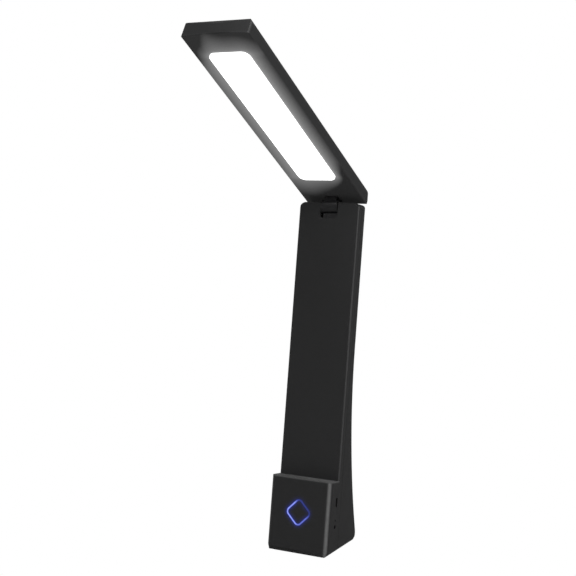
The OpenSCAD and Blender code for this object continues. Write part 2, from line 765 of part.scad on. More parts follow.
// Hollow of the head from z0 up, with the same slant at the hinge end as the outside
module head_hollow(z0) {
    in_x = half_w - head_wall;
    in_r = head_round - head_wall;
    tip_in = head_wall + tip_round / 2 - head_reach;
    tail_in = head_tail - head_wall / cos(head_raise);
    intersection() {
        along_y(tip_in, head_tail) round_rect(-in_x, in_x, z0, cover_in_top, [0, 0, in_r, in_r]);
        along_x(-half_w, half_w) polygon([[tip_in - over, light_z], [tail_in, light_z],
            [tail_in - head_t * tan(head_raise), head_top], [tip_in - over, head_top]]);
    }
}
leaf_spots = [for (s = leaf_shares) [s[0] * leaf_half, -s[1] * leaf_reach]];
knuckle_post_r = 2.6;
module head_cover() {
    rib_t = 1.2;
    rib_count = 7;
    rib_end_gap = 11;
    rib_first = junction_y - junction_l - 2 * rib_t;
    color([0.15, 0.15, 0.155]) in_head() difference() {
        union() {
            difference() {
                head_form();
                span([-half_w - over, -head_reach - over, light_z - over],
                    [half_w + over, head_tail + over, light_z + frame_h]);
                head_hollow(light_z);
            }
            // Ribs that press on the heat spreader
            for (i = [0:rib_count - 1]) {
                y = rib_first - (rib_first + window_to - rib_end_gap) * i / (rib_count - 1);
                rib_x = half_w - head_wall / 2;
                rib_r = head_round - head_wall / 2;
                along_y(y - rib_t / 2, y + rib_t / 2)
                    round_rect(-rib_x, rib_x, spreader_top, cover_in_top + head_wall / 2,
                        [0, 0, rib_r, rib_r]);
            }
            for (s = leaf_spots) translate([s[0], s[1], 0])
                rod_z(knuckle_post_r, leaf_top, cover_in_top + head_wall / 2);
        }
        for (s = leaf_spots) translate([s[0], s[1], 0]) rod_z(pilot_r, leaf_top - over, cover_in_top);
    }
}
module window_outline(grow) {
    r = window_round + grow;
    round_rect(-window_w / 2 - grow, window_w / 2 + grow, -window_to - grow, -window_from + grow,
        [r, r, r, r]);
}
module head_frame() {
    tab_count = 5;
    catch_t = 1;
    catch_h = 3;
    in_x = half_w - head_wall;
    color([0.16, 0.16, 0.165]) in_head() difference() {
        union() {
            intersection() {
                head_form();
                span([-half_w - over, -head_reach - over, light_z],
                    [half_w + over, head_tail + over, light_z + frame_h]);
            }
            // Snap tabs along both long sides
            for (side = [0, 1], i = [0:tab_count - 1]) mirror([side, 0, 0]) {
                y = -window_from - window_l * i / (tab_count - 1);
                span([in_x - play - catch_t, y - tab_half, light_z + head_wall / 2],
                    [in_x - play, y + tab_half, light_z + frame_h + catch_h]);
            }
        }
        difference() {
            head_hollow(light_z + head_wall);
            for (side = [0, 1], i = [0:tab_count - 1]) mirror([side, 0, 0]) {
                y = -window_from - window_l * i / (tab_count - 1);
                span([in_x - play - catch_t, y - tab_half, light_z],
                    [in_x - play, y + tab_half, head_top]);
            }
        }
        translate([0, 0, light_z - over]) linear_extrude(height = head_wall + 2 * over) window_outline(0);
        span([-neck_half - play, -neck_front - play, light_z - over],
            [neck_half + play, neck_back + play, light_z + head_wall + over]);
    }
}
module diffuser() {
    proud_z = light_z - diffuser_proud;
    color([0.97, 0.97, 0.95]) in_head() {
        translate([0, 0, proud_z]) linear_extrude(height = diffuser_proud + head_wall)
            window_outline(-play);
        translate([0, 0, light_z + head_wall]) linear_extrude(height = flange_t)
            window_outline(guide_lap);
    }
}
module light_stack(z0, z1, half) {
    in_head() span([-half, -window_to - guide_lap, z0], [half, guide_lap - window_from, z1]);
}
module light_guide() {
    color([0.85, 0.92, 0.95]) light_stack(flange_top, guide_top, guide_half);
}
module reflector_sheet() {
    color([0.95, 0.95, 0.95]) light_stack(guide_top, sheet_top, guide_half);
}
module heat_spreader() {
    color([0.7, 0.71, 0.73]) light_stack(sheet_top, spreader_top, guide_half + chip_t + bar_t + play);
}
bar_in = guide_half + play + chip_t;
module led_bars() {
    color([0.8, 0.8, 0.78]) in_head() for (side = [0, 1]) mirror([side, 0, 0])
        span([bar_in, -window_to, light_z + head_wall], [bar_in + bar_t, -window_from, sheet_top]);
}
module led_chips() {
    pitch = window_l / led_count;
    color([0.95, 0.9, 0.6]) in_head() for (side = [0, 1], i = [0:led_count - 1]) mirror([side, 0, 0])
        span([bar_in - chip_t, -window_from - pitch * (i + 0.5) - led_l / 2, flange_top],
            [bar_in, -window_from - pitch * (i + 0.5) + led_l / 2, guide_top]);
}
// Small board on the spreader where the lead is soldered
junction_half = 9;
junction_l = 7;
junction_t = 1;
junction_y = -window_from - junction_t;
module junction_board() {
    color([0.07, 0.3, 0.16]) in_head() span([-junction_half, junction_y - junction_l, spreader_top],
        [junction_half, junction_y, spreader_top + junction_t]);
}
module hinge_knuckle() {
    color([0.12, 0.12, 0.125]) in_head() difference() {
        union() {
            rod_x(barrel_r, -barrel_w / 2, barrel_w / 2, fine);
            span([-neck_half, -neck_front, 0], [neck_half, neck_back, leaf_z + leaf_t / 2]);
            translate([0, 0, leaf_z]) linear_extrude(height = leaf_t)
                round_rect(-leaf_half, leaf_half, -leaf_reach, leaf_back,
                    [leaf_corner, leaf_corner, 0, 0]);
        }
        rod_x(sleeve_out, -barrel_w, barrel_w);
        rod_z(lead_hole_r, 0, leaf_top + over);
        for (s = leaf_spots) translate([s[0], s[1], leaf_z]) screw_seat(leaf_t);
    }
}
module friction_sleeve() {
    color([0.5, 0.5, 0.48]) in_head() difference() {
        rod_x(sleeve_out, -barrel_w / 2 + play, barrel_w / 2 - play);
        rod_x(sleeve_in, -barrel_w, barrel_w);
        rod_z(lead_hole_r, 0, barrel_r);
    }
}
leaf_screw_l = 6.5;
module knuckle_screws() {
    color([0.6, 0.61, 0.63]) in_head() for (s = leaf_spots)
        translate([s[0], s[1], leaf_z]) screw(screw_head_r, screw_r - seat_play, leaf_screw_l);
}
module head_lead() {
    bend = 2;
    height = spreader_top + junction_t + lead_r;
    color([0.85, 0.85, 0.83]) in_head() {
        rod_z(lead_r, sleeve_in, height - bend);
        translate([0, -bend, height - bend]) rotate([90, 0, 90])
            rotate_extrude(angle = 90, $fn = small_fine) translate([bend, 0])
                circle(r = lead_r, $fn = small_fine);
        translate([0, 0, height]) rod_y(lead_r, junction_y - junction_l / 2, -bend);
    }
}

front_shell();
rear_shell();
base_cover();
foot_pad();
ballast_block();
base_screws();
ballast_screws();
battery_pack();
battery_lead();
main_board();
board_parts();
board_screws();
charging_socket();
socket_tongue();
indicator_lights();
ring_light_guide();
ring_leds();
touch_cap();
touch_plate();
touch_foam();
hinge_axle();
axle_clamps();
clamp_screws();
hinge_washers();
lamp_lead();
head_cover();
head_frame();
diffuser();
light_guide();
reflector_sheet();
heat_spreader();
led_bars();
led_chips();
junction_board();
hinge_knuckle();
friction_sleeve();
knuckle_screws();
head_lead();
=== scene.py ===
"""Looks of the folding desk lamp: finishes for every moulding and inner piece, the lit panel and
touch ring, small contacts and solder joints, studio light and camera.

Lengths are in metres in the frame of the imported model: origin on the desk in the middle of the
rubber sole, +X to the right, +Y to the back, +Z up.
"""

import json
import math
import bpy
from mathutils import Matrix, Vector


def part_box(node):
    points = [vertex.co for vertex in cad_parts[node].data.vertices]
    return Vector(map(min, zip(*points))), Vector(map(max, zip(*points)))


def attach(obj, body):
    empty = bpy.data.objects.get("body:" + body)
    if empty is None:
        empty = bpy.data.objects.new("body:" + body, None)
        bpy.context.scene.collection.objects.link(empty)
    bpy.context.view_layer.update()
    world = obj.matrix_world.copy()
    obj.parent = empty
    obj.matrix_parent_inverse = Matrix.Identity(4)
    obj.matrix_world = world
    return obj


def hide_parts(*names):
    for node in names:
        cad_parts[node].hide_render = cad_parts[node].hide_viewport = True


bl_info = {
    "name": "Folding desk lamp",
    "version": (1, 0, 0),
    "blender": (4, 5, 0),
    "location": "3D View > Sidebar > Lamp",
    "description": "Dresses the folding desk lamp and lights it like a product photo",
    "category": "Object",
}

import bmesh
import bpy
from mathutils import Matrix, Vector

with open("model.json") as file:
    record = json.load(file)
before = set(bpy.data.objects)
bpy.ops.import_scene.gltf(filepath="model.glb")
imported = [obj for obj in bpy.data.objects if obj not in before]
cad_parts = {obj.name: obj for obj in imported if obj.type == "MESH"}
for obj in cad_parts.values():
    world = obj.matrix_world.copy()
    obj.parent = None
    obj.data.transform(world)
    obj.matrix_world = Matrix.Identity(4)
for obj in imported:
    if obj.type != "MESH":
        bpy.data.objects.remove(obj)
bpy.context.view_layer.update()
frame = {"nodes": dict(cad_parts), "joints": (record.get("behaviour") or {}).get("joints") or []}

MM = 0.001

# The hinge and the two leaning frames, as the CAD model has them
HINGE = frame["joints"][0]
HINGE_LINE = Vector(HINGE["pos_m"])
LEAN = math.radians(9.0)
RAISE = math.radians(HINGE["range_deg"][1] - 90.0)
AXIS_DEPTH = 19.1 * MM
AXIS_HEIGHT = 269.0 * MM
STAND = (
    Matrix.Translation(HINGE_LINE)
    @ Matrix.Rotation(-LEAN, 4, "X")
    @ Matrix.Translation((0.0, -AXIS_DEPTH, -AXIS_HEIGHT))
)
HEAD = Matrix.Translation(HINGE_LINE) @ Matrix.Rotation(-LEAN - RAISE, 4, "X")

# The lit window in the head's own frame: distances from the hinge line along the head
WINDOW_NEAR = 30.5 * MM
WINDOW_FAR = 190.5 * MM
WINDOW_HALF = 15.6 * MM
WINDOW_ROUND = 5.5 * MM

# Foot block and column in the stand's own frame
HALF_WIDTH = 26.0 * MM
BLOCK_HEIGHT = 57.5 * MM
BLOCK_ROUND = 4.5 * MM
BLOCK_DEPTH = 14.2 * MM
COLUMN_ROUND = 1.5 * MM

# Hinge barrel, the knuckle's neck, and the room under the barrel in its notch
BARREL = 6.0 * MM
NECK = 5.5 * MM
NOTCH_ROOM = 3.3 * MM

# Rounding of the foot's bottom edges
SOLE = 0.8 * MM
SHELL_SOLE_ROUND = 2.0 * MM
FOOT_SIDE_ROUND = 5.0 * MM
FOOT_REAR_ROUND = 10.0 * MM
FOOT_BACK = 28.17 * MM
FOOT_STEPS = [height * MM for height in (0.9, 1.2, 1.7, 2.3, 3.0, 3.9, 4.9, 6.0, 8.0, 10.0)]
# Outer bands of the foot that are drawn in to make room for that rounding
SIDE_BAND = 10.0 * MM
REAR_BAND = 16.0 * MM

# Touch ring on the front of the foot block, and the charging socket in its side
RING_HEIGHT = 31.6 * MM
RING_LINE = 1.3 * MM
RING_SIDE = 16.4 * MM
RING_ROUND = 3.8 * MM
PORT_HEIGHT = 41.3 * MM
PORT_DEPTH = 11.9 * MM

# Saddle under the hinge barrel: its two ends along the hinge line, and its clearances
SADDLE_LEFT = -4.7 * MM
SADDLE_RIGHT = 7.2 * MM
SADDLE_GAP = 0.35 * MM
NECK_GAP = 0.25 * MM
SADDLE_BEHIND = 1.5 * MM
SADDLE_BEVEL = 0.15 * MM

# Contacts on the front of the socket's tongue, and solder joints on the two boards
CONTACT_PITCH = 0.85 * MM
CONTACT_MARGIN = 0.2 * MM
CONTACT_THICK = 0.08 * MM
CONTACT_WIDE = 0.38 * MM
CONTACT_FRONT = 0.36 * MM
BOARD_BACK = 10.45 * MM
SOLDER_HEIGHT = 20.0 * MM
SOLDER_PITCH = 2.2 * MM
SOLDER_SIZE = (1.3 * MM, 0.9 * MM, 1.3 * MM)
HEAD_SOLDER_HALF = 3.0 * MM
HEAD_SOLDER_SIZE = (1.6 * MM, 1.6 * MM, 0.8 * MM)
JUNCTION_BOARD_HALF = 0.5 * MM

# Finish of the black mouldings, with the grey of their painted highlights and the painted halo's
# strength
GRAIN_DEPTH = 7e-6
SHELL_GLOSS = 0.32
PAINTED_HIGHLIGHT_GREY = (0.5, 0.5, 0.5, 1.0)
HALO_STRENGTH = 0.11

# Studio: place, aim and size of each softbox; the camera's place and its angles in degrees
TOP_PLACE, TOP_AIM, TOP_SIZE = (0.1, -0.15, 1.2), (0.0, -0.03, 0.2), (0.7, 0.7)
SIDE_PLACE, SIDE_AIM, SIDE_SIZE = (0.5, -0.12, 0.62), (0.0, -0.06, 0.32), (0.12, 0.4)
CAMERA_PLACE = (0.41446, -0.80878, 0.30027)
CAMERA_DOWN = 6.15
CAMERA_TURN = 28.34
FLOOR_HALF = 3.0
WHITE = (1.0, 1.0, 1.0, 1.0)


class LampFinish(bpy.types.PropertyGroup):
    """Colours and light levels of the lamp"""

    shell_colour: bpy.props.FloatVectorProperty(
        name="Shell colour", description="Colour of the matte black mouldings",
        subtype="COLOR", size=4, min=0.0, max=1.0, default=(0.027, 0.027, 0.0275, 1.0),
    )
    shell_roughness: bpy.props.FloatProperty(
        name="Shell roughness", description="Roughness of the matte black mouldings",
        subtype="FACTOR", min=0.0, max=1.0, default=0.44,
    )
    grain_size: bpy.props.FloatProperty(
        name="Grain size", description="Size of the moulded grain on the black mouldings",
        subtype="DISTANCE", unit="LENGTH", min=0.0001, default=0.00045,
    )
    panel_level: bpy.props.FloatProperty(
        name="Panel level", description="How brightly the panel shines", min=0.0, default=1.6,
    )
    # Painted highlight: how light the rounded edges and the ledge are painted
    painted_edge_highlight: bpy.props.FloatProperty(
        name="Painted edge highlight", description="How light the painted edge highlights and the ledge are",
        subtype="FACTOR", min=0.0, max=1.0, default=0.17,
    )
    glow_level: bpy.props.FloatProperty(
        name="Glow level", description="Light that bleeds through the frame next to the panel",
        min=0.0, default=0.235,
    )
    glow_reach: bpy.props.FloatProperty(
        name="Glow reach", description="How far that light bleeds before it fades",
        subtype="DISTANCE", unit="LENGTH", min=0.0001, default=0.0135,
    )
    ring_colour: bpy.props.FloatVectorProperty(
        name="Ring colour", description="Colour of the lit touch ring",
        subtype="COLOR", size=4, min=0.0, max=1.0, default=(0.05, 0.09, 1.0, 1.0),
    )
    ring_halo: bpy.props.FloatProperty(
        name="Ring halo", description="How far the ring's light spreads over the front",
        subtype="DISTANCE", unit="LENGTH", min=0.0001, default=0.002,
    )
    ring_level: bpy.props.FloatProperty(
        name="Ring level", description="How brightly the touch ring shines", min=0.0, default=0.85,
    )


class LampStudio(bpy.types.PropertyGroup):
    """Studio light, floor and camera"""

    sky_level: bpy.props.FloatProperty(
        name="Surround level", description="Level of the soft light from all round",
        min=0.0, default=0.42,
    )
    gloss_level: bpy.props.FloatProperty(
        name="Reflected level", description="Level of the surround as seen in glossy surfaces",
        min=0.0, default=0.17,
    )
    top_power: bpy.props.FloatProperty(
        name="Top light", description="Power of the softbox above", subtype="POWER", unit="POWER",
        min=0.0, default=5.0,
    )
    side_power: bpy.props.FloatProperty(
        name="Side light", description="Power of the tall softbox on the right",
        subtype="POWER", unit="POWER", min=0.0, default=1.5,
    )
    lens: bpy.props.FloatProperty(
        name="Lens", description="Focal length of the camera on a 36 mm sensor, in millimetres",
        min=10.0, default=74.49,
    )


# ---------------------------------------------------------------- node helpers


def put(tree, kind, inputs=None, **settings):
    """Adds a node; inputs may be values or the sockets that feed them."""
    node = tree.nodes.new(kind)
    for key, value in settings.items():
        setattr(node, key, value)
    for key, value in (inputs or {}).items():
        if isinstance(value, bpy.types.NodeSocket):
            tree.links.new(value, node.inputs[key])
        else:
            node.inputs[key].default_value = value
    return node


def calc(tree, operation, *values, clamp=False):
    """Adds a Math node and returns its result."""
    node = put(tree, "ShaderNodeMath", dict(enumerate(values)), operation=operation)
    node.use_clamp = clamp
    return node.outputs[0]


def remap(tree, value, low, high, out_low, out_high, smooth=False):
    """Adds a Map Range node and returns its result."""
    node = put(
        tree, "ShaderNodeMapRange",
        {"Value": value, "From Min": low, "From Max": high, "To Min": out_low, "To Max": out_high},
    )
    node.interpolation_type = "SMOOTHSTEP" if smooth else "LINEAR"
    return node.outputs[0]


def shade(tree, colour, level):
    """Multiplies a colour by a value that changes over the surface."""
    return put(
        tree, "ShaderNodeMix", {"Factor": 1.0, "A": colour, "B": level},
        data_type="RGBA", blend_type="MULTIPLY",
    ).outputs["Result"]


def mix_colour(tree, share, first, second):
    """Mixes two colours by a share of the second."""
    return put(
        tree, "ShaderNodeMix", {"Factor": share, "A": first, "B": second}, data_type="RGBA"
    ).outputs["Result"]


def grey(tree, level):
    """Turns a value into a grey colour."""
    return put(
        tree, "ShaderNodeCombineColor", {"Red": level, "Green": level, "Blue": level}
    ).outputs[0]


def new_group(name, inputs, outputs):
    """Starts a shader node group with float, vector or colour sockets."""
    kinds = {"f": "NodeSocketFloat", "v": "NodeSocketVector", "c": "NodeSocketColor"}
    tree = bpy.data.node_groups.new(name, "ShaderNodeTree")
    for label, kind, value in inputs:
        socket = tree.interface.new_socket(label, in_out="INPUT", socket_type=kinds[kind])
        if value is not None:
            socket.default_value = value
    for label, kind in outputs:
        tree.interface.new_socket(label, in_out="OUTPUT", socket_type=kinds[kind])
    return tree, tree.nodes.new("NodeGroupInput"), tree.nodes.new("NodeGroupOutput")


def moulded_group():
    """Spark-eroded mould texture: fine grain, a few finger smudges and a slight shade change."""
    tree, inp, out = new_group(
        "Moulded grain",
        [("Vector", "v", None), ("Grain", "f", 0.0005), ("Smudge", "f", 0.05)],
        [("Height", "f"), ("Roughness", "f"), ("Shade", "f")],
    )
    fineness = calc(tree, "DIVIDE", 1.0, inp.outputs["Grain"])
    grain = put(
        tree, "ShaderNodeTexNoise",
        {"Vector": inp.outputs["Vector"], "Scale": fineness, "Detail": 4.0, "Roughness": 0.6},
    ).outputs[0]
    pits = put(
        tree, "ShaderNodeTexVoronoi",
        {"Vector": inp.outputs["Vector"], "Scale": calc(tree, "MULTIPLY", fineness, 0.7)},
        feature="SMOOTH_F1",
    ).outputs["Distance"]
    height = calc(tree, "MULTIPLY_ADD", pits, 0.6, grain)
    smudge = put(
        tree, "ShaderNodeTexNoise",
        {"Vector": inp.outputs["Vector"], "Scale": 38.0, "Detail": 5.0, "Distortion": 0.6},
    ).outputs[0]
    patch = remap(tree, smudge, 0.35, 0.7, -0.5, 0.5)
    tree.links.new(height, out.inputs["Height"])
    tree.links.new(calc(tree, "MULTIPLY", patch, inp.outputs["Smudge"]), out.inputs["Roughness"])
    tree.links.new(remap(tree, grain, 0.3, 0.7, 0.86, 1.12), out.inputs["Shade"])
    return tree


def brushed_group():
    """Fine lines along one axis, as rolled, drawn or ground metal has."""
    tree, inp, out = new_group(
        "Drawn metal lines",
        [("Vector", "v", None), ("Across", "f", 9000.0), ("Along", "f", 250.0)],
        [("Height", "f"), ("Roughness", "f"), ("Shade", "f")],
    )
    stretch = put(
        tree, "ShaderNodeCombineXYZ",
        {"X": inp.outputs["Along"], "Y": inp.outputs["Across"], "Z": inp.outputs["Across"]},
    )
    place = put(
        tree, "ShaderNodeVectorMath", {0: inp.outputs["Vector"], 1: stretch.outputs[0]},
        operation="MULTIPLY",
    )
    lines = put(
        tree, "ShaderNodeTexNoise", {"Vector": place.outputs[0], "Scale": 1.0, "Detail": 3.0}
    ).outputs[0]
    tree.links.new(lines, out.inputs["Height"])
    tree.links.new(remap(tree, lines, 0.3, 0.7, -0.06, 0.06), out.inputs["Roughness"])
    tree.links.new(remap(tree, lines, 0.3, 0.7, 0.9, 1.08), out.inputs["Shade"])
    return tree


def outline_group():
    """Distance outwards from a rounded rectangle round the origin of X and Y."""
    tree, inp, out = new_group(
        "Distance from outline",
        [("Vector", "v", None), ("Half width", "f", 0.01), ("Half length", "f", 0.01),
         ("Corner", "f", 0.001)],
        [("Distance", "f")],
    )
    split = put(tree, "ShaderNodeSeparateXYZ", {0: inp.outputs["Vector"]})
    over = []
    for axis, half in (("X", "Half width"), ("Y", "Half length")):
        inner = calc(tree, "SUBTRACT", inp.outputs[half], inp.outputs["Corner"])
        over.append(calc(tree, "SUBTRACT", calc(tree, "ABSOLUTE", split.outputs[axis]), inner))
    outside = [calc(tree, "MAXIMUM", value, 0.0) for value in over]
    square = calc(tree, "ADD", *[calc(tree, "MULTIPLY", value, value) for value in outside])
    within = calc(tree, "MINIMUM", calc(tree, "MAXIMUM", over[0], over[1]), 0.0)
    away = calc(tree, "ADD", calc(tree, "SQRT", square), within)
    tree.links.new(calc(tree, "SUBTRACT", away, inp.outputs["Corner"]), out.inputs["Distance"])
    return tree


def edge_highlight_group():
    """Painted highlight along upright rounded edges: strongest about half way round each one."""
    tree, inp, out = new_group(
        "Painted highlight on upright edges",
        [("Vector", "v", None), ("Half width", "f", 0.026), ("Front", "f", 0.0),
         ("Radius", "f", 0.0045)],
        [("Mask", "f")],
    )
    split = put(tree, "ShaderNodeSeparateXYZ", {0: inp.outputs["Vector"]})
    radius = inp.outputs["Radius"]
    side = calc(
        tree, "SUBTRACT", calc(tree, "ABSOLUTE", split.outputs["X"]),
        calc(tree, "SUBTRACT", inp.outputs["Half width"], radius),
    )
    front = calc(
        tree, "SUBTRACT", calc(tree, "ADD", inp.outputs["Front"], radius), split.outputs["Y"]
    )
    side = calc(tree, "MAXIMUM", side, 0.0)
    front = calc(tree, "MAXIMUM", front, 0.0)
    turn = calc(tree, "DIVIDE", side, calc(tree, "ADD", calc(tree, "ADD", side, front), 1e-6))
    off = calc(tree, "ABSOLUTE", calc(tree, "SUBTRACT", turn, 0.46))
    mask = remap(tree, off, 0.02, 0.27, 1.0, 0.0, smooth=True)
    # The right hand's side gets the strongest painted highlight
    hand = remap(tree, split.outputs["X"], -0.01, 0.01, 0.25, 1.0)
    tree.links.new(calc(tree, "MULTIPLY", mask, hand), out.inputs["Mask"])
    return tree


GROUPS = {}


def group(name):
    """The shader node group of that name, made on first use."""
    makers = {
        "moulded": moulded_group, "brushed": brushed_group, "outline": outline_group,
        "edges": edge_highlight_group,
    }
    if name not in GROUPS:
        GROUPS[name] = makers[name]()
    return GROUPS[name]


def use_group(tree, name, inputs):
    """Adds a node that runs one of the shader node groups."""
    return put(tree, "ShaderNodeGroup", inputs, node_tree=group(name))


def new_material(name, colour, roughness, metallic=0.0, **sockets):
    """A material whose shader has constant values on its own sockets."""
    material = bpy.data.materials.new(name)
    material.use_nodes = True
    tree = material.node_tree
    shader = tree.nodes["Principled BSDF"]
    shader.inputs["Base Color"].default_value = colour
    shader.inputs["Roughness"].default_value = roughness
    shader.inputs["Metallic"].default_value = metallic
    for label, value in sockets.items():
        shader.inputs[label.replace("_", " ")].default_value = value
    material.diffuse_color = colour
    place = tree.nodes.new("ShaderNodeTexCoord").outputs["Object"]
    return material, tree, shader, place


def add_bump(tree, shader, height, depth):
    """Gives a shader its relief, with a depth in metres."""
    bump = put(tree, "ShaderNodeBump", {"Height": height, "Distance": depth, "Strength": 1.0})
    tree.links.new(bump.outputs[0], shader.inputs["Normal"])


def in_frame(tree, place, matrix):
    """Object coordinates turned into a leaning frame."""
    node = put(tree, "ShaderNodeMapping", {"Vector": place}, vector_type="TEXTURE")
    node.inputs["Location"].default_value = matrix.translation
    node.inputs["Rotation"].default_value = matrix.to_euler()
    return node.outputs[0]


def moulded(name, colour, roughness, grain, depth, smudge=0.06, **sockets):
    """A moulded plastic or rubber surface."""
    material, tree, shader, place = new_material(name, colour, roughness, **sockets)
    texture = use_group(tree, "moulded", {"Vector": place, "Grain": grain, "Smudge": smudge})
    add_bump(tree, shader, texture.outputs["Height"], depth)
    level = calc(tree, "ADD", texture.outputs["Roughness"], roughness)
    tree.links.new(level, shader.inputs["Roughness"])
    tree.links.new(shade(tree, colour, texture.outputs["Shade"]), shader.inputs["Base Color"])
    return material, tree, shader, place


def metal(name, colour, roughness, across=9000.0, along=300.0, depth=3e-6):
    """A drawn, rolled or plated metal surface."""
    material, tree, shader, place = new_material(name, colour, roughness, metallic=1.0)
    lines = use_group(tree, "brushed", {"Vector": place, "Across": across, "Along": along})
    add_bump(tree, shader, lines.outputs["Height"], depth)
    level = calc(tree, "ADD", lines.outputs["Roughness"], roughness)
    tree.links.new(level, shader.inputs["Roughness"])
    tree.links.new(shade(tree, colour, lines.outputs["Shade"]), shader.inputs["Base Color"])
    return material


# ---------------------------------------------------------------- the lamp's finishes


def ring_distance(tree, stand):
    """Distance from the middle of the touch ring's line, and the place along its falling sides."""
    split = put(tree, "ShaderNodeSeparateXYZ", {0: stand})
    x = split.outputs["X"]
    z = calc(tree, "SUBTRACT", split.outputs["Z"], RING_HEIGHT)
    root = math.sqrt(0.5)
    u = calc(tree, "MULTIPLY", calc(tree, "ADD", x, z), root)
    v = calc(tree, "MULTIPLY", calc(tree, "SUBTRACT", z, x), root)
    flat = put(tree, "ShaderNodeCombineXYZ", {"X": u, "Y": v})
    half = (RING_SIDE - RING_LINE) / 2
    off = use_group(
        tree, "outline",
        {"Vector": flat.outputs[0], "Half width": half, "Half length": half,
         "Corner": RING_ROUND - RING_LINE / 2},
    ).outputs["Distance"]
    # The upper right side is dim, as in a ring with one weaker LED, and its lower end is darkest
    dim = remap(tree, u, 2.0 * MM, 7.0 * MM, 1.0, 0.2, smooth=True)
    low = remap(tree, v, -9.0 * MM, -3.0 * MM, 0.55, 1.0, smooth=True)
    return calc(tree, "ABSOLUTE", off), calc(tree, "MULTIPLY", dim, low), split.outputs["Y"]


def shell(name, look):
    """The matte black moulding that the whole outside is made of."""
    return moulded(
        name, look.shell_colour, look.shell_roughness, look.grain_size, GRAIN_DEPTH,
        Specular_IOR_Level=SHELL_GLOSS,
    )


def stand_shell(look):
    """Matte black moulding with painted highlights on its edges and ledge, and a painted blue halo
    round the ring.
    """
    material, tree, shader, place = shell("Matte black stand", look)
    plain = shader.inputs["Base Color"].links[0].from_socket
    stand = in_frame(tree, place, STAND)
    split = put(tree, "ShaderNodeSeparateXYZ", {0: stand})
    height = split.outputs["Z"]
    # Painted highlights: the rounded upright edges and the top of the ledge are mixed towards a
    # light grey
    low = remap(tree, height, BLOCK_HEIGHT - 1.0 * MM, BLOCK_HEIGHT + 0.5 * MM, 1.0, 0.0)
    block = use_group(tree, "edges", {"Vector": stand, "Radius": BLOCK_ROUND}).outputs[0]
    column = use_group(
        tree, "edges", {"Vector": stand, "Front": BLOCK_DEPTH, "Radius": COLUMN_ROUND}
    ).outputs[0]
    high = calc(tree, "SUBTRACT", 0.45, calc(tree, "MULTIPLY", low, 0.45))
    column = calc(tree, "MULTIPLY", column, high)
    block = calc(tree, "MULTIPLY", block, calc(tree, "MULTIPLY", low, 1.7))
    ledge = remap(tree, height, BLOCK_HEIGHT - 1.2 * MM, BLOCK_HEIGHT - 0.3 * MM, 0.0, 1.0)
    front = remap(tree, split.outputs["Y"], BLOCK_DEPTH - 0.2 * MM, BLOCK_DEPTH, 1.0, 0.0)
    above = remap(tree, height, BLOCK_HEIGHT + 0.2 * MM, BLOCK_HEIGHT + 0.6 * MM, 1.0, 0.0)
    ledge = calc(tree, "MULTIPLY", calc(tree, "MULTIPLY", ledge, front), above)
    painted_highlight = calc(tree, "MAXIMUM", calc(tree, "MAXIMUM", block, column), ledge)
    patchy = put(
        tree, "ShaderNodeTexNoise", {"Vector": stand, "Scale": 260.0, "Detail": 4.0}
    ).outputs[0]
    painted_highlight = calc(tree, "MULTIPLY", painted_highlight, remap(tree, patchy, 0.3, 0.6, 0.85, 1.0))
    painted_highlight = calc(tree, "MULTIPLY", painted_highlight, look.painted_edge_highlight)
    tree.links.new(mix_colour(tree, painted_highlight, plain, PAINTED_HIGHLIGHT_GREY), shader.inputs["Base Color"])
    # Painted light: the ring's blue halo is emitted by the shell round the ring
    off, power, depth = ring_distance(tree, stand)
    share = calc(tree, "DIVIDE", off, look.ring_halo)
    square = calc(tree, "MULTIPLY", share, share)
    halo = calc(tree, "EXPONENT", calc(tree, "MULTIPLY", square, -1.0))
    halo = calc(tree, "MULTIPLY", halo, remap(tree, depth, 0.3 * MM, 1.0 * MM, 1.0, 0.0))
    halo = calc(tree, "MULTIPLY", halo, remap(tree, power, 0.0, 1.0, 0.35, 1.0))
    lit = shade(tree, look.ring_colour, grey(tree, halo))
    tree.links.new(lit, shader.inputs["Emission Color"])
    shader.inputs["Emission Strength"].default_value = HALO_STRENGTH
    return material


def head_shell(look):
    """The same moulding on the head's outer cover."""
    return shell("Matte black head", look)[0]


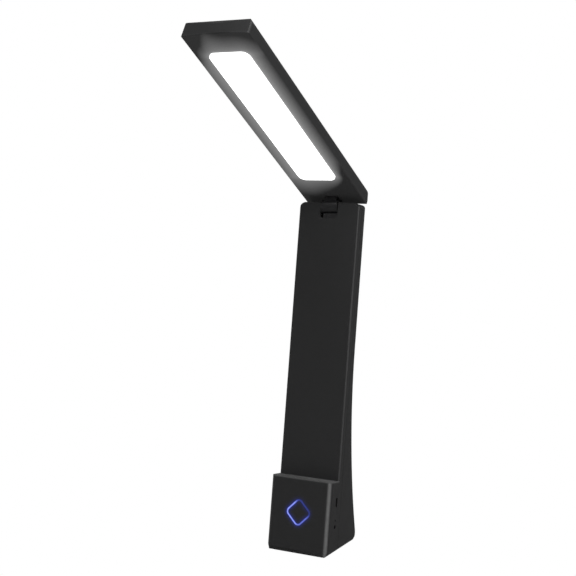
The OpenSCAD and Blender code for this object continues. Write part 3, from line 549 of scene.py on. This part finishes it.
def glowing_frame(look):
    """The light side of the head: the same moulding, with painted glow: the light that bleeds
    through it next to the panel, and a faint even glow over the whole light side.
    """
    material, tree, shader, place = shell("Matte black frame with painted light bleed", look)
    head = in_frame(tree, place, HEAD)
    middle = (WINDOW_FAR + WINDOW_NEAR) / 2
    moved = put(
        tree, "ShaderNodeVectorMath", {0: head, 1: (0.0, middle, 0.0)}, operation="ADD"
    ).outputs[0]
    half = (WINDOW_FAR - WINDOW_NEAR) / 2
    away = use_group(
        tree, "outline",
        {"Vector": moved, "Half width": WINDOW_HALF, "Half length": half, "Corner": WINDOW_ROUND},
    ).outputs["Distance"]
    split = put(tree, "ShaderNodeSeparateXYZ", {0: moved})
    side, along = split.outputs["X"], split.outputs["Y"]
    # The bleed reaches furthest on the left. It is cut back at the hinge end on the right and
    # at the far end on the left.
    wide = remap(tree, side, -WINDOW_HALF, 6 * MM, 1.5, 1.0, smooth=True)
    right = remap(tree, side, 0.0, 21 * MM, 0.0, 1.0, smooth=True)
    near = remap(tree, along, half - 30 * MM, half + 2 * MM, 0.0, 0.62, smooth=True)
    far = remap(tree, along, -half - 1 * MM, -half + 24 * MM, 1.0, 0.0, smooth=True)
    left = remap(tree, side, -6 * MM, -18 * MM, 0.0, 0.95, smooth=True)
    cut = calc(tree, "ADD", calc(tree, "MULTIPLY", near, right), calc(tree, "MULTIPLY", far, left))
    reach = calc(tree, "MULTIPLY", calc(tree, "SUBTRACT", wide, cut), look.glow_reach)
    ends = calc(tree, "ABSOLUTE", along)
    longer = remap(tree, ends, half - 8 * MM, half + 3 * MM, 1.0, 1.4, smooth=True)
    reach = calc(tree, "MULTIPLY", reach, longer)
    fall = calc(tree, "SUBTRACT", 1.0, calc(tree, "DIVIDE", away, reach), clamp=True)
    fall = calc(tree, "POWER", fall, 1.2)
    weak = remap(tree, ends, half - 4 * MM, half + 3 * MM, 1.0, 0.72, smooth=True)
    depth = put(tree, "ShaderNodeSeparateXYZ", {0: head}).outputs["Z"]
    face = remap(tree, depth, 6.7 * MM, 7.8 * MM, 1.0, 0.0)
    mottled = put(tree, "ShaderNodeTexNoise", {"Vector": head, "Scale": 900.0}).outputs[0]
    # Painted light: a faint even glow over the whole light side lifts its shade
    level = calc(tree, "MAXIMUM", calc(tree, "MULTIPLY", fall, weak), 0.035)
    level = calc(tree, "MULTIPLY", level, face)
    level = calc(tree, "MULTIPLY", level, remap(tree, mottled, 0.3, 0.7, 0.95, 1.05))
    level = calc(tree, "MULTIPLY", level, look.glow_level)
    tree.links.new(grey(tree, level), shader.inputs["Emission Color"])
    shader.inputs["Emission Strength"].default_value = 1.0
    return material


def black_base(look):
    """Plain coarse moulding of the bottom plate."""
    return moulded("Plain black base", (0.016, 0.016, 0.016, 1), 0.6, 0.0007, 2e-5)[0]


def rubber_sole(look):
    """Soft rubber with a fine diamond tread."""
    material, tree, shader, place = moulded(
        "Rubber sole", (0.012, 0.012, 0.012, 1), 0.82, 0.0006, 2e-5
    )
    turned = put(tree, "ShaderNodeMapping", {"Vector": place})
    turned.inputs["Rotation"].default_value = (0.0, 0.0, math.radians(45.0))
    split = put(tree, "ShaderNodeSeparateXYZ", {0: turned.outputs[0]})
    pitch = 2 * math.pi / (1.8 * MM)
    waves = []
    for axis in ("X", "Y"):
        angle = calc(tree, "MULTIPLY", split.outputs[axis], pitch / 2)
        waves.append(calc(tree, "ABSOLUTE", calc(tree, "SINE", angle)))
    tread = remap(tree, calc(tree, "MINIMUM", *waves), 0.1, 0.45, 0.0, 1.0, smooth=True)
    add_bump(tree, shader, tread, 2.5e-4)
    return material


def opal_diffuser(look):
    """Opal acrylic lit from both long sides."""
    material, tree, shader, place = new_material("Lit opal diffuser", (0.92, 0.92, 0.9, 1), 0.35)
    head = in_frame(tree, place, HEAD)
    side = calc(tree, "ABSOLUTE", put(tree, "ShaderNodeSeparateXYZ", {0: head}).outputs["X"])
    level = remap(tree, side, 0.0, WINDOW_HALF, look.panel_level, look.panel_level * 1.12)
    cloud = put(
        tree, "ShaderNodeTexNoise", {"Vector": head, "Scale": 60.0, "Detail": 2.0}
    ).outputs[0]
    level = calc(tree, "MULTIPLY", level, remap(tree, cloud, 0.3, 0.7, 0.98, 1.02))
    tree.links.new(grey(tree, level), shader.inputs["Emission Color"])
    shader.inputs["Emission Strength"].default_value = 1.0
    return material


def lit_ring(look):
    """Blue light pipe with a whiter core."""
    material, tree, shader, place = new_material("Lit blue ring", (0.02, 0.03, 0.12, 1), 0.3)
    off, power, depth = ring_distance(tree, in_frame(tree, place, STAND))
    core = remap(tree, off, 0.0, RING_LINE * 0.55, 1.0, 0.0, smooth=True)
    core = calc(tree, "MULTIPLY", core, power)
    ripple = put(tree, "ShaderNodeTexNoise", {"Vector": place, "Scale": 500.0}).outputs[0]
    power = calc(tree, "MULTIPLY", power, remap(tree, ripple, 0.3, 0.7, 0.8, 1.1))
    core = calc(tree, "MULTIPLY", core, 0.8)
    tint = mix_colour(tree, core, look.ring_colour, (0.52, 0.6, 1.0, 1))
    lit = shade(tree, tint, calc(tree, "MULTIPLY", power, look.ring_level))
    tree.links.new(lit, shader.inputs["Emission Color"])
    shader.inputs["Emission Strength"].default_value = 1.0
    return material


def smoked_lens(look):
    """Nearly black lens that hardly shines."""
    return moulded(
        "Smoked lens", (0.002, 0.002, 0.0025, 1), 0.4, 0.0009, 2e-6, Specular_IOR_Level=0.03
    )[0]


def circuit_board(look):
    """Green solder mask with copper tracks that show through it."""
    mask = (0.008, 0.07, 0.022, 1.0)
    material, tree, shader, place = new_material("Green circuit board", mask, 0.28)
    tracks = put(
        tree, "ShaderNodeTexVoronoi", {"Vector": place, "Scale": 420.0}, distance="MANHATTAN"
    ).outputs["Distance"]
    track = remap(tree, calc(tree, "PINGPONG", tracks, 0.16), 0.05, 0.09, 0.0, 1.0)
    colour = mix_colour(tree, track, mask, (0.03, 0.16, 0.045, 1.0))
    tree.links.new(colour, shader.inputs["Base Color"])
    add_bump(tree, shader, track, 3e-5)
    return material


def battery_wrap(look):
    """Blue shrink film over a pouch cell, with soft creases."""
    film = (0.02, 0.08, 0.3, 1)
    material, tree, shader, place = new_material("Battery film", film, 0.25)
    crease = put(
        tree, "ShaderNodeTexNoise",
        {"Vector": place, "Scale": 160.0, "Detail": 3.0, "Distortion": 1.2},
    ).outputs[0]
    add_bump(tree, shader, crease, 2.5e-4)
    # Painted shade and highlight: darker in the hollows of the creases, lighter on their ridges
    tint = remap(tree, crease, 0.3, 0.7, 0.8, 1.15)
    tree.links.new(shade(tree, film, tint), shader.inputs["Base Color"])
    return material


def led_package(look):
    """Yellow phosphor in a white package, lit."""
    material, tree, shader, place = new_material("LED phosphor", (0.85, 0.68, 0.2, 1), 0.4)
    grain = put(tree, "ShaderNodeTexNoise", {"Vector": place, "Scale": 4000.0}).outputs[0]
    level = remap(tree, grain, 0.3, 0.7, 0.9, 1.1)
    lit = shade(tree, (1.0, 0.9, 0.6, 1), level)
    tree.links.new(lit, shader.inputs["Emission Color"])
    shader.inputs["Emission Strength"].default_value = 2.0
    return material


def foam(look):
    """Grey foam with open cells."""
    colour = (0.08, 0.08, 0.09, 1)
    material, tree, shader, place = new_material("Grey foam", colour, 0.9)
    cells = put(
        tree, "ShaderNodeTexVoronoi", {"Vector": place, "Scale": 2200.0}
    ).outputs["Distance"]
    add_bump(tree, shader, cells, 2e-4)
    # Painted shade: darker in the pits of the cells
    level = remap(tree, cells, 0.0, 0.7, 0.7, 1.2)
    tree.links.new(shade(tree, colour, level), shader.inputs["Base Color"])
    return material


def clear_guide(look):
    """Clear acrylic plate whose printed dots throw the light out."""
    clear = (0.85, 0.9, 0.92, 1)
    material, tree, shader, place = new_material("Clear guide with dots", clear, 0.08)
    head = in_frame(tree, place, HEAD)
    dots = put(
        tree, "ShaderNodeTexVoronoi", {"Vector": head, "Scale": 900.0, "Randomness": 0.0}
    ).outputs["Distance"]
    dot = remap(tree, dots, 0.2, 0.26, 1.0, 0.0)
    tree.links.new(remap(tree, dot, 0.0, 1.0, 0.08, 0.5), shader.inputs["Roughness"])
    return material


def plain_moulded(name, colour, roughness=0.5, grain=0.0006, depth=8e-6):
    """Makes a finish of moulded plastic in one colour."""

    def make(look):
        return moulded(name, colour, roughness, grain, depth)[0]

    return make


def plain_metal(name, colour, roughness, across=9000.0, along=300.0):
    """Makes a finish of one metal."""

    def make(look):
        return metal(name, colour, roughness, across, along)

    return make


SCREW = plain_metal("Zinc plated screw", (0.56, 0.57, 0.58, 1), 0.34, 4000.0, 4000.0)
AXLE = plain_metal("Ground axle", (0.6, 0.6, 0.61, 1), 0.22)
WEIGHT = plain_metal("Mild steel weight", (0.3, 0.3, 0.31, 1), 0.42, 2500.0)
SOCKET = plain_metal("Dark nickel socket", (0.1, 0.1, 0.095, 1), 0.35)
COPPER = plain_metal("Copper plate", (0.7, 0.3, 0.16, 1), 0.3)
SPREADER = plain_metal("Aluminium spreader", (0.7, 0.71, 0.73, 1), 0.32)
RED_LEAD = plain_moulded("Red lead", (0.45, 0.02, 0.02, 1), 0.4, 0.0008, 4e-6)
WHITE_LEAD = plain_moulded("White lead", (0.72, 0.72, 0.7, 1), 0.4, 0.0008, 4e-6)
COMPONENT = plain_moulded("Black component", (0.013, 0.013, 0.014, 1), 0.42, 0.0003)
WASHER = plain_moulded("Nylon washer", (0.6, 0.57, 0.48, 1))
KNUCKLE = plain_moulded("Filled nylon", (0.017, 0.017, 0.018, 1), 0.38)
WHITE_FILM = plain_moulded("White film", (0.88, 0.88, 0.88, 1), 0.5, 0.001)
WHITE_BOARD = plain_moulded("White board", (0.8, 0.8, 0.76, 1), 0.35)

# Each finish group: the function that makes its material, and the nodes that wear it
NODE_FINISHES = {
    "stand shells": (stand_shell, ("front_shell", "rear_shell", "touch_cap")),
    "head cover": (head_shell, ("head_cover",)),
    "head frame": (glowing_frame, ("head_frame",)),
    "base": (black_base, ("base_cover",)),
    "sole": (rubber_sole, ("foot_pad",)),
    "panel": (opal_diffuser, ("diffuser",)),
    "ring": (lit_ring, ("ring_light_guide",)),
    "lenses": (smoked_lens, ("indicator_lights",)),
    "boards": (circuit_board, ("main_board", "junction_board")),
    "battery": (battery_wrap, ("battery_pack",)),
    "red lead": (RED_LEAD, ("battery_lead",)),
    "leads": (WHITE_LEAD, ("lamp_lead", "head_lead")),
    "components": (COMPONENT, ("board_parts", "socket_tongue")),
    "screws": (
        SCREW,
        ("base_screws", "ballast_screws", "board_screws", "clamp_screws", "knuckle_screws",
         "axle_clamps"),
    ),
    "axle": (AXLE, ("hinge_axle", "friction_sleeve")),
    "weight": (WEIGHT, ("ballast_block",)),
    "socket": (SOCKET, ("charging_socket",)),
    "copper": (COPPER, ("touch_plate",)),
    "spreader": (SPREADER, ("heat_spreader",)),
    "foam": (foam, ("touch_foam",)),
    "washers": (WASHER, ("hinge_washers",)),
    "knuckle": (KNUCKLE, ("hinge_knuckle",)),
    "reflector": (WHITE_FILM, ("reflector_sheet",)),
    "guide": (clear_guide, ("light_guide",)),
    "led boards": (WHITE_BOARD, ("led_bars", "ring_leds")),
    "leds": (led_package, ("led_chips",)),
}


def dress(names):
    """Gives the nodes of these finish groups their materials."""
    look = bpy.context.scene.lamp_finish
    for name in names:
        maker, nodes = NODE_FINISHES[name]
        material = maker(look)
        for node in nodes:
            mesh = frame["nodes"][node].data
            mesh.materials.clear()
            mesh.materials.append(material)


# ---------------------------------------------------------------- small repeated pieces


def row_tree(name, item):
    """Geometry Nodes tree: copies of a small item along a line, with its count, start and step."""
    tree = bpy.data.node_groups.new(name, "GeometryNodeTree")
    sockets = {}
    for label, kind, value in (
        ("Count", "NodeSocketInt", 5),
        ("Start", "NodeSocketVector", (0.0, 0.0, 0.0)),
        ("Step", "NodeSocketVector", (0.0, 0.0, 0.001)),
        ("Size", "NodeSocketVector", (0.001, 0.001, 0.001)),
        ("Material", "NodeSocketMaterial", None),
    ):
        socket = tree.interface.new_socket(label, in_out="INPUT", socket_type=kind)
        if value is not None:
            socket.default_value = value
        sockets[label] = socket.identifier
    tree.interface.new_socket("Geometry", in_out="OUTPUT", socket_type="NodeSocketGeometry")
    inp = tree.nodes.new("NodeGroupInput")
    out = tree.nodes.new("NodeGroupOutput")
    line = tree.nodes.new("GeometryNodeMeshLine")
    line.mode = "OFFSET"
    tree.links.new(inp.outputs["Count"], line.inputs["Count"])
    tree.links.new(inp.outputs["Start"], line.inputs["Start Location"])
    tree.links.new(inp.outputs["Step"], line.inputs["Offset"])
    shape = item(tree, inp.outputs["Size"])
    copies = tree.nodes.new("GeometryNodeInstanceOnPoints")
    tree.links.new(line.outputs["Mesh"], copies.inputs["Points"])
    tree.links.new(shape, copies.inputs["Instance"])
    real = tree.nodes.new("GeometryNodeRealizeInstances")
    tree.links.new(copies.outputs[0], real.inputs[0])
    paint = tree.nodes.new("GeometryNodeSetMaterial")
    tree.links.new(real.outputs[0], paint.inputs["Geometry"])
    tree.links.new(inp.outputs["Material"], paint.inputs["Material"])
    tree.links.new(paint.outputs[0], out.inputs["Geometry"])
    return tree, sockets


def strip_item(tree, size):
    """A flat contact strip of the given size."""
    box = tree.nodes.new("GeometryNodeMeshCube")
    tree.links.new(size, box.inputs["Size"])
    return box.outputs["Mesh"]


def dome_item(tree, size):
    """A solder joint: half a flattened ball."""
    ball = tree.nodes.new("GeometryNodeMeshUVSphere")
    ball.inputs["Segments"].default_value = 16
    ball.inputs["Rings"].default_value = 8
    ball.inputs["Radius"].default_value = 0.5
    turned = tree.nodes.new("GeometryNodeTransform")
    tree.links.new(ball.outputs["Mesh"], turned.inputs["Geometry"])
    tree.links.new(size, turned.inputs["Scale"])
    return turned.outputs[0]


def make_row(name, item, values, material, matrix, body):
    """Runs a row tree, turns the result into a plain mesh in its place, and fastens it."""
    tree, sockets = row_tree(name + " row", item)
    carrier = bpy.data.objects.new(name, bpy.data.meshes.new(name))
    bpy.context.scene.collection.objects.link(carrier)
    modifier = carrier.modifiers.new("Row", "NODES")
    modifier.node_group = tree
    for label, value in values.items():
        modifier[sockets[label]] = value
    modifier[sockets["Material"]] = material
    bpy.context.view_layer.update()
    graph = bpy.context.evaluated_depsgraph_get()
    mesh = bpy.data.meshes.new_from_object(carrier.evaluated_get(graph))
    carrier.modifiers.remove(modifier)
    carrier.data = mesh
    mesh.transform(matrix)
    mesh.update()
    if not mesh.vertices:
        raise RuntimeError(f"{name} came out empty")
    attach(carrier, body)
    return carrier


# ---------------------------------------------------------------- rounded foot


def foot_inset(height, radius):
    """How far a rounded bottom edge stands in at a height above the desk."""
    if height >= radius:
        return 0.0
    return radius - math.sqrt(radius * radius - (radius - max(height, 0.0)) ** 2)


def narrowed(value, edge, band, before, after):
    """Moves a distance that lies in the outer band in, as the edge moves from before to after."""
    inner = edge - band
    if value <= inner:
        return value
    return inner + (value - inner) * (band - after) / (band - before)


def rounded_foot(node):
    """Copies a CAD node and rounds its bottom at the sides and the back by the foot's radii."""
    source = frame["nodes"][node]
    name = node + "_rounded"
    mesh = bpy.data.meshes.new(name)
    work = bmesh.new()
    work.from_mesh(source.data)
    bmesh.ops.remove_doubles(work, verts=work.verts, dist=1e-6)
    bmesh.ops.dissolve_limit(
        work, angle_limit=math.radians(0.4), verts=work.verts[:], edges=work.edges[:]
    )
    for height in FOOT_STEPS:
        bmesh.ops.bisect_plane(
            work, geom=work.verts[:] + work.edges[:] + work.faces[:], dist=1e-7,
            plane_co=(0.0, 0.0, height), plane_no=(0.0, 0.0, 1.0),
        )
    for vertex in work.verts:
        x, y, z = vertex.co
        if z >= FOOT_REAR_ROUND:
            continue
        level = max(z, SOLE)
        drawn = foot_inset(level - SOLE, SHELL_SOLE_ROUND)
        wide = narrowed(
            abs(x), HALF_WIDTH, SIDE_BAND, drawn, max(drawn, foot_inset(level, FOOT_SIDE_ROUND))
        )
        vertex.co.x = math.copysign(wide, x)
        vertex.co.y = narrowed(
            y, FOOT_BACK, REAR_BAND, drawn, max(drawn, foot_inset(level, FOOT_REAR_ROUND))
        )
    work.normal_update()
    work.to_mesh(mesh)
    work.free()
    mesh.materials.append(source.data.materials[0])
    mesh.polygons.foreach_set("use_smooth", [True] * len(mesh.polygons))
    mesh.set_sharp_from_angle(angle=math.radians(28.0))
    piece = bpy.data.objects.new(name, mesh)
    bpy.context.scene.collection.objects.link(piece)
    even_normals(piece)
    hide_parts(node)
    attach(piece, "stand")
    return piece


def even_normals(piece):
    """Lets the large flat faces set the shading, so that they stay even beside their roundings."""
    modifier = piece.modifiers.new("Even shading", "WEIGHTED_NORMAL")
    modifier.keep_sharp = True
    modifier.weight = 100
    bpy.context.view_layer.update()
    graph = bpy.context.evaluated_depsgraph_get()
    mesh = bpy.data.meshes.new_from_object(piece.evaluated_get(graph))
    piece.modifiers.remove(modifier)
    piece.data = mesh


def hinge_cradle():
    """A small saddle on the floor of the notch, under the hinge barrel."""
    floor = AXIS_HEIGHT - BARREL - NOTCH_ROOM
    front, back = BLOCK_DEPTH + NECK_GAP, AXIS_DEPTH + SADDLE_BEHIND
    reach = BARREL + SADDLE_GAP
    steps = 16
    top = []
    for step in range(steps + 1):
        y = back + (front - back) * step / steps
        drop = math.sqrt(reach * reach - (y - AXIS_DEPTH) ** 2)
        top.append((y, min(AXIS_HEIGHT - drop, AXIS_HEIGHT - NECK - NECK_GAP)))
    outline = [(front, floor), (back, floor)] + top
    mesh = bpy.data.meshes.new("hinge_cradle")
    work = bmesh.new()
    ends = [
        [work.verts.new((x, y, z)) for y, z in outline] for x in (SADDLE_LEFT, SADDLE_RIGHT)
    ]
    work.faces.new(ends[0])
    work.faces.new(list(reversed(ends[1])))
    count = len(outline)
    for i in range(count):
        j = (i + 1) % count
        work.faces.new((ends[0][i], ends[1][i], ends[1][j], ends[0][j]))
    bmesh.ops.recalc_face_normals(work, faces=work.faces)
    sharp = [edge for edge in work.edges if edge.calc_face_angle(0.0) > math.radians(40.0)]
    bmesh.ops.bevel(work, geom=sharp, offset=SADDLE_BEVEL, segments=2, affect="EDGES")
    work.to_mesh(mesh)
    work.free()
    mesh.transform(STAND)
    mesh.materials.append(frame["nodes"]["hinge_knuckle"].data.materials[0])
    piece = bpy.data.objects.new("hinge_cradle", mesh)
    bpy.context.scene.collection.objects.link(piece)
    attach(piece, "stand")


# ---------------------------------------------------------------- operators


class LAMP_OT_shells(bpy.types.Operator):
    """Finish the black mouldings of the stand and the head"""

    bl_idname = "lamp.shells"
    bl_label = "Shells"

    def execute(self, context):
        dress(("stand shells", "head cover", "head frame", "base", "sole"))
        return {"FINISHED"}


class LAMP_OT_light(bpy.types.Operator):
    """Finish the lit panel, the plates behind it and the LEDs"""

    bl_idname = "lamp.light"
    bl_label = "Light panel"

    def execute(self, context):
        dress(("panel", "guide", "reflector", "spreader", "led boards", "leds"))
        return {"FINISHED"}


class LAMP_OT_touch(bpy.types.Operator):
    """Finish the touch ring, the charging socket and the indicator lenses"""

    bl_idname = "lamp.touch"
    bl_label = "Touch ring and socket"

    def execute(self, context):
        dress(("ring", "lenses", "socket", "copper", "foam"))
        return {"FINISHED"}


class LAMP_OT_inside(bpy.types.Operator):
    """Finish the hinge, the weight, the battery, the boards and the leads"""

    bl_idname = "lamp.inside"
    bl_label = "Hinge and inside"

    def execute(self, context):
        dress(("boards", "battery", "red lead", "leads", "components", "screws", "axle", "weight",
               "washers", "knuckle"))
        return {"FINISHED"}


class LAMP_OT_foot(bpy.types.Operator):
    """Round the bottom edges of the foot, with what lies in them"""

    bl_idname = "lamp.foot"
    bl_label = "Rounded foot"

    def execute(self, context):
        slots = {
            "front_shell": "black_shell", "rear_shell": "black_shell", "base_cover": "black_base",
            "foot_pad": "rubber_sole", "base_screws": "steel_screw",
        }
        for node, slot in slots.items():
            rounded_foot(node)
        return {"FINISHED"}


class LAMP_OT_cradle(bpy.types.Operator):
    """Add the saddle under the hinge barrel"""

    bl_idname = "lamp.cradle"
    bl_label = "Hinge saddle"

    def execute(self, context):
        hinge_cradle()
        return {"FINISHED"}


class LAMP_OT_contacts(bpy.types.Operator):
    """Add the gold contacts of the charging socket and the solder joints on the two boards"""

    bl_idname = "lamp.contacts"
    bl_label = "Contacts and solder"

    def execute(self, context):
        gold = metal("Gold contact", (0.85, 0.6, 0.25, 1), 0.2, 6000.0, 6000.0)
        solder = metal("Solder", (0.62, 0.62, 0.63, 1), 0.3, 1500.0, 1500.0)
        low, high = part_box("socket_tongue")
        tongue_mid = (low.x + high.x) / 2
        make_row(
            "socket_contacts", strip_item,
            {
                "Count": 5,
                "Start": (
                    tongue_mid, PORT_DEPTH - CONTACT_FRONT, PORT_HEIGHT - 2 * CONTACT_PITCH
                ),
                "Step": (0.0, 0.0, CONTACT_PITCH),
                "Size": (high.x - low.x - 2 * CONTACT_MARGIN, CONTACT_THICK, CONTACT_WIDE),
            },
            gold, STAND, "stand",
        )
        # Two rows side by side on the back of the main board
        for name, x, count in (("upper_solder", -11.0 * MM, 4), ("lower_solder", 3.0 * MM, 6)):
            make_row(
                name, dome_item,
                {
                    "Count": count,
                    "Start": (x, BOARD_BACK, SOLDER_HEIGHT),
                    "Step": (SOLDER_PITCH, 0.0, 0.0),
                    "Size": SOLDER_SIZE,
                },
                solder, STAND, "stand",
            )
        low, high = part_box("junction_board")
        centre = HEAD.inverted() @ ((low + high) / 2)
        make_row(
            "head_solder", dome_item,
            {
                "Count": 2,
                "Start": (-HEAD_SOLDER_HALF, centre.y, centre.z + JUNCTION_BOARD_HALF),
                "Step": (2 * HEAD_SOLDER_HALF, 0.0, 0.0),
                "Size": HEAD_SOLDER_SIZE,
            },
            solder, HEAD, "head",
        )
        return {"FINISHED"}


class LAMP_OT_stage(bpy.types.Operator):
    """Set the pale floor, the soft light and the camera"""

    bl_idname = "lamp.stage"
    bl_label = "Studio"

    def execute(self, context):
        studio = context.scene.lamp_studio
        self.floor(context, studio)
        self.surround(context, studio)
        softbox("Top softbox", TOP_PLACE, TOP_AIM, TOP_SIZE, studio.top_power)
        softbox("Right softbox", SIDE_PLACE, SIDE_AIM, SIDE_SIZE, studio.side_power)
        camera = bpy.data.objects.new("Camera", bpy.data.cameras.new("Camera"))
        context.scene.collection.objects.link(camera)
        camera.data.sensor_width = 36.0
        camera.data.lens = studio.lens
        camera.location = CAMERA_PLACE
        camera.rotation_euler = (math.radians(90.0 - CAMERA_DOWN), 0.0, math.radians(CAMERA_TURN))
        context.scene.camera = camera
        context.scene.view_settings.view_transform = "Standard"
        return {"FINISHED"}

    def floor(self, context, studio):
        """A pale floor that the camera sees as the same white as the surround."""
        mesh = bpy.data.meshes.new("floor")
        corners = ((-1, -1), (1, -1), (1, 1), (-1, 1))
        mesh.from_pydata(
            [(x * FLOOR_HALF, y * FLOOR_HALF, 0.0) for x, y in corners], [], [(0, 1, 2, 3)]
        )
        floor = bpy.data.objects.new("floor", mesh)
        context.scene.collection.objects.link(floor)
        material = bpy.data.materials.new("Pale floor")
        material.use_nodes = True
        tree = material.node_tree
        shader = tree.nodes["Principled BSDF"]
        shader.inputs["Base Color"].default_value = (0.8, 0.8, 0.8, 1.0)
        shader.inputs["Roughness"].default_value = 0.9
        seen = by_ray(tree, "ShaderNodeEmission", shader.outputs[0], studio.gloss_level)
        tree.links.new(seen, tree.nodes["Material Output"].inputs["Surface"])
        mesh.materials.append(material)

    def surround(self, context, studio):
        """White behind the lamp, and a dimmer soft surround that lights it."""
        world = bpy.data.worlds.new("Studio")
        world.use_nodes = True
        context.scene.world = world
        tree = world.node_tree
        soft = tree.nodes["Background"]
        soft.inputs["Color"].default_value = WHITE
        soft.inputs["Strength"].default_value = studio.sky_level
        seen = by_ray(tree, "ShaderNodeBackground", soft.outputs[0], studio.gloss_level)
        tree.links.new(seen, tree.nodes["World Output"].inputs["Surface"])


def by_ray(tree, kind, lit, reflected):
    """White for the camera, a dimmer surround in reflections, and the lit shader for the rest."""
    white = put(tree, kind, {"Color": WHITE, "Strength": 1.0})
    dim = put(tree, kind, {"Color": WHITE, "Strength": reflected})
    rays = tree.nodes.new("ShaderNodeLightPath").outputs
    glossy = put(
        tree, "ShaderNodeMixShader", {0: rays["Is Glossy Ray"], 1: lit, 2: dim.outputs[0]}
    )
    return put(
        tree, "ShaderNodeMixShader",
        {0: rays["Is Camera Ray"], 1: glossy.outputs[0], 2: white.outputs[0]},
    ).outputs[0]


def softbox(name, place, aim, size, power):
    """A rectangular area light that faces the lamp."""
    light = bpy.data.lights.new(name, "AREA")
    light.shape = "RECTANGLE"
    light.size, light.size_y = size
    light.energy = power
    lamp = bpy.data.objects.new(name, light)
    lamp.location = place
    lamp.rotation_euler = (Vector(aim) - Vector(place)).to_track_quat("-Z", "Y").to_euler()
    bpy.context.scene.collection.objects.link(lamp)
    return lamp


class LAMP_PT_panel(bpy.types.Panel):
    """Lists the lamp's pieces and settings"""

    bl_idname = "LAMP_PT_panel"
    bl_label = "Folding desk lamp"
    bl_space_type = "VIEW_3D"
    bl_region_type = "UI"
    bl_category = "Lamp"

    def draw(self, context):
        layout = self.layout
        for cls in OPERATORS:
            layout.operator(cls.bl_idname)
        for settings in (context.scene.lamp_finish, context.scene.lamp_studio):
            box = layout.box()
            for name in settings.bl_rna.properties.keys():
                if name not in ("rna_type", "name"):
                    box.prop(settings, name)


OPERATORS = (
    LAMP_OT_shells, LAMP_OT_light, LAMP_OT_touch, LAMP_OT_inside, LAMP_OT_foot, LAMP_OT_cradle,
    LAMP_OT_contacts, LAMP_OT_stage,
)
CLASSES = (LampFinish, LampStudio, *OPERATORS, LAMP_PT_panel)


def register():
    for cls in CLASSES:
        bpy.utils.register_class(cls)
    bpy.types.Scene.lamp_finish = bpy.props.PointerProperty(type=LampFinish)
    bpy.types.Scene.lamp_studio = bpy.props.PointerProperty(type=LampStudio)


def unregister():
    del bpy.types.Scene.lamp_finish
    del bpy.types.Scene.lamp_studio
    for cls in reversed(CLASSES):
        bpy.utils.unregister_class(cls)


def main():
    register()
    bpy.ops.lamp.shells()
    bpy.ops.lamp.light()
    bpy.ops.lamp.touch()
    bpy.ops.lamp.inside()
    bpy.ops.lamp.foot()
    bpy.ops.lamp.cradle()
    bpy.ops.lamp.contacts()
    bpy.ops.lamp.stage()


if __name__ == "__main__":
    main()
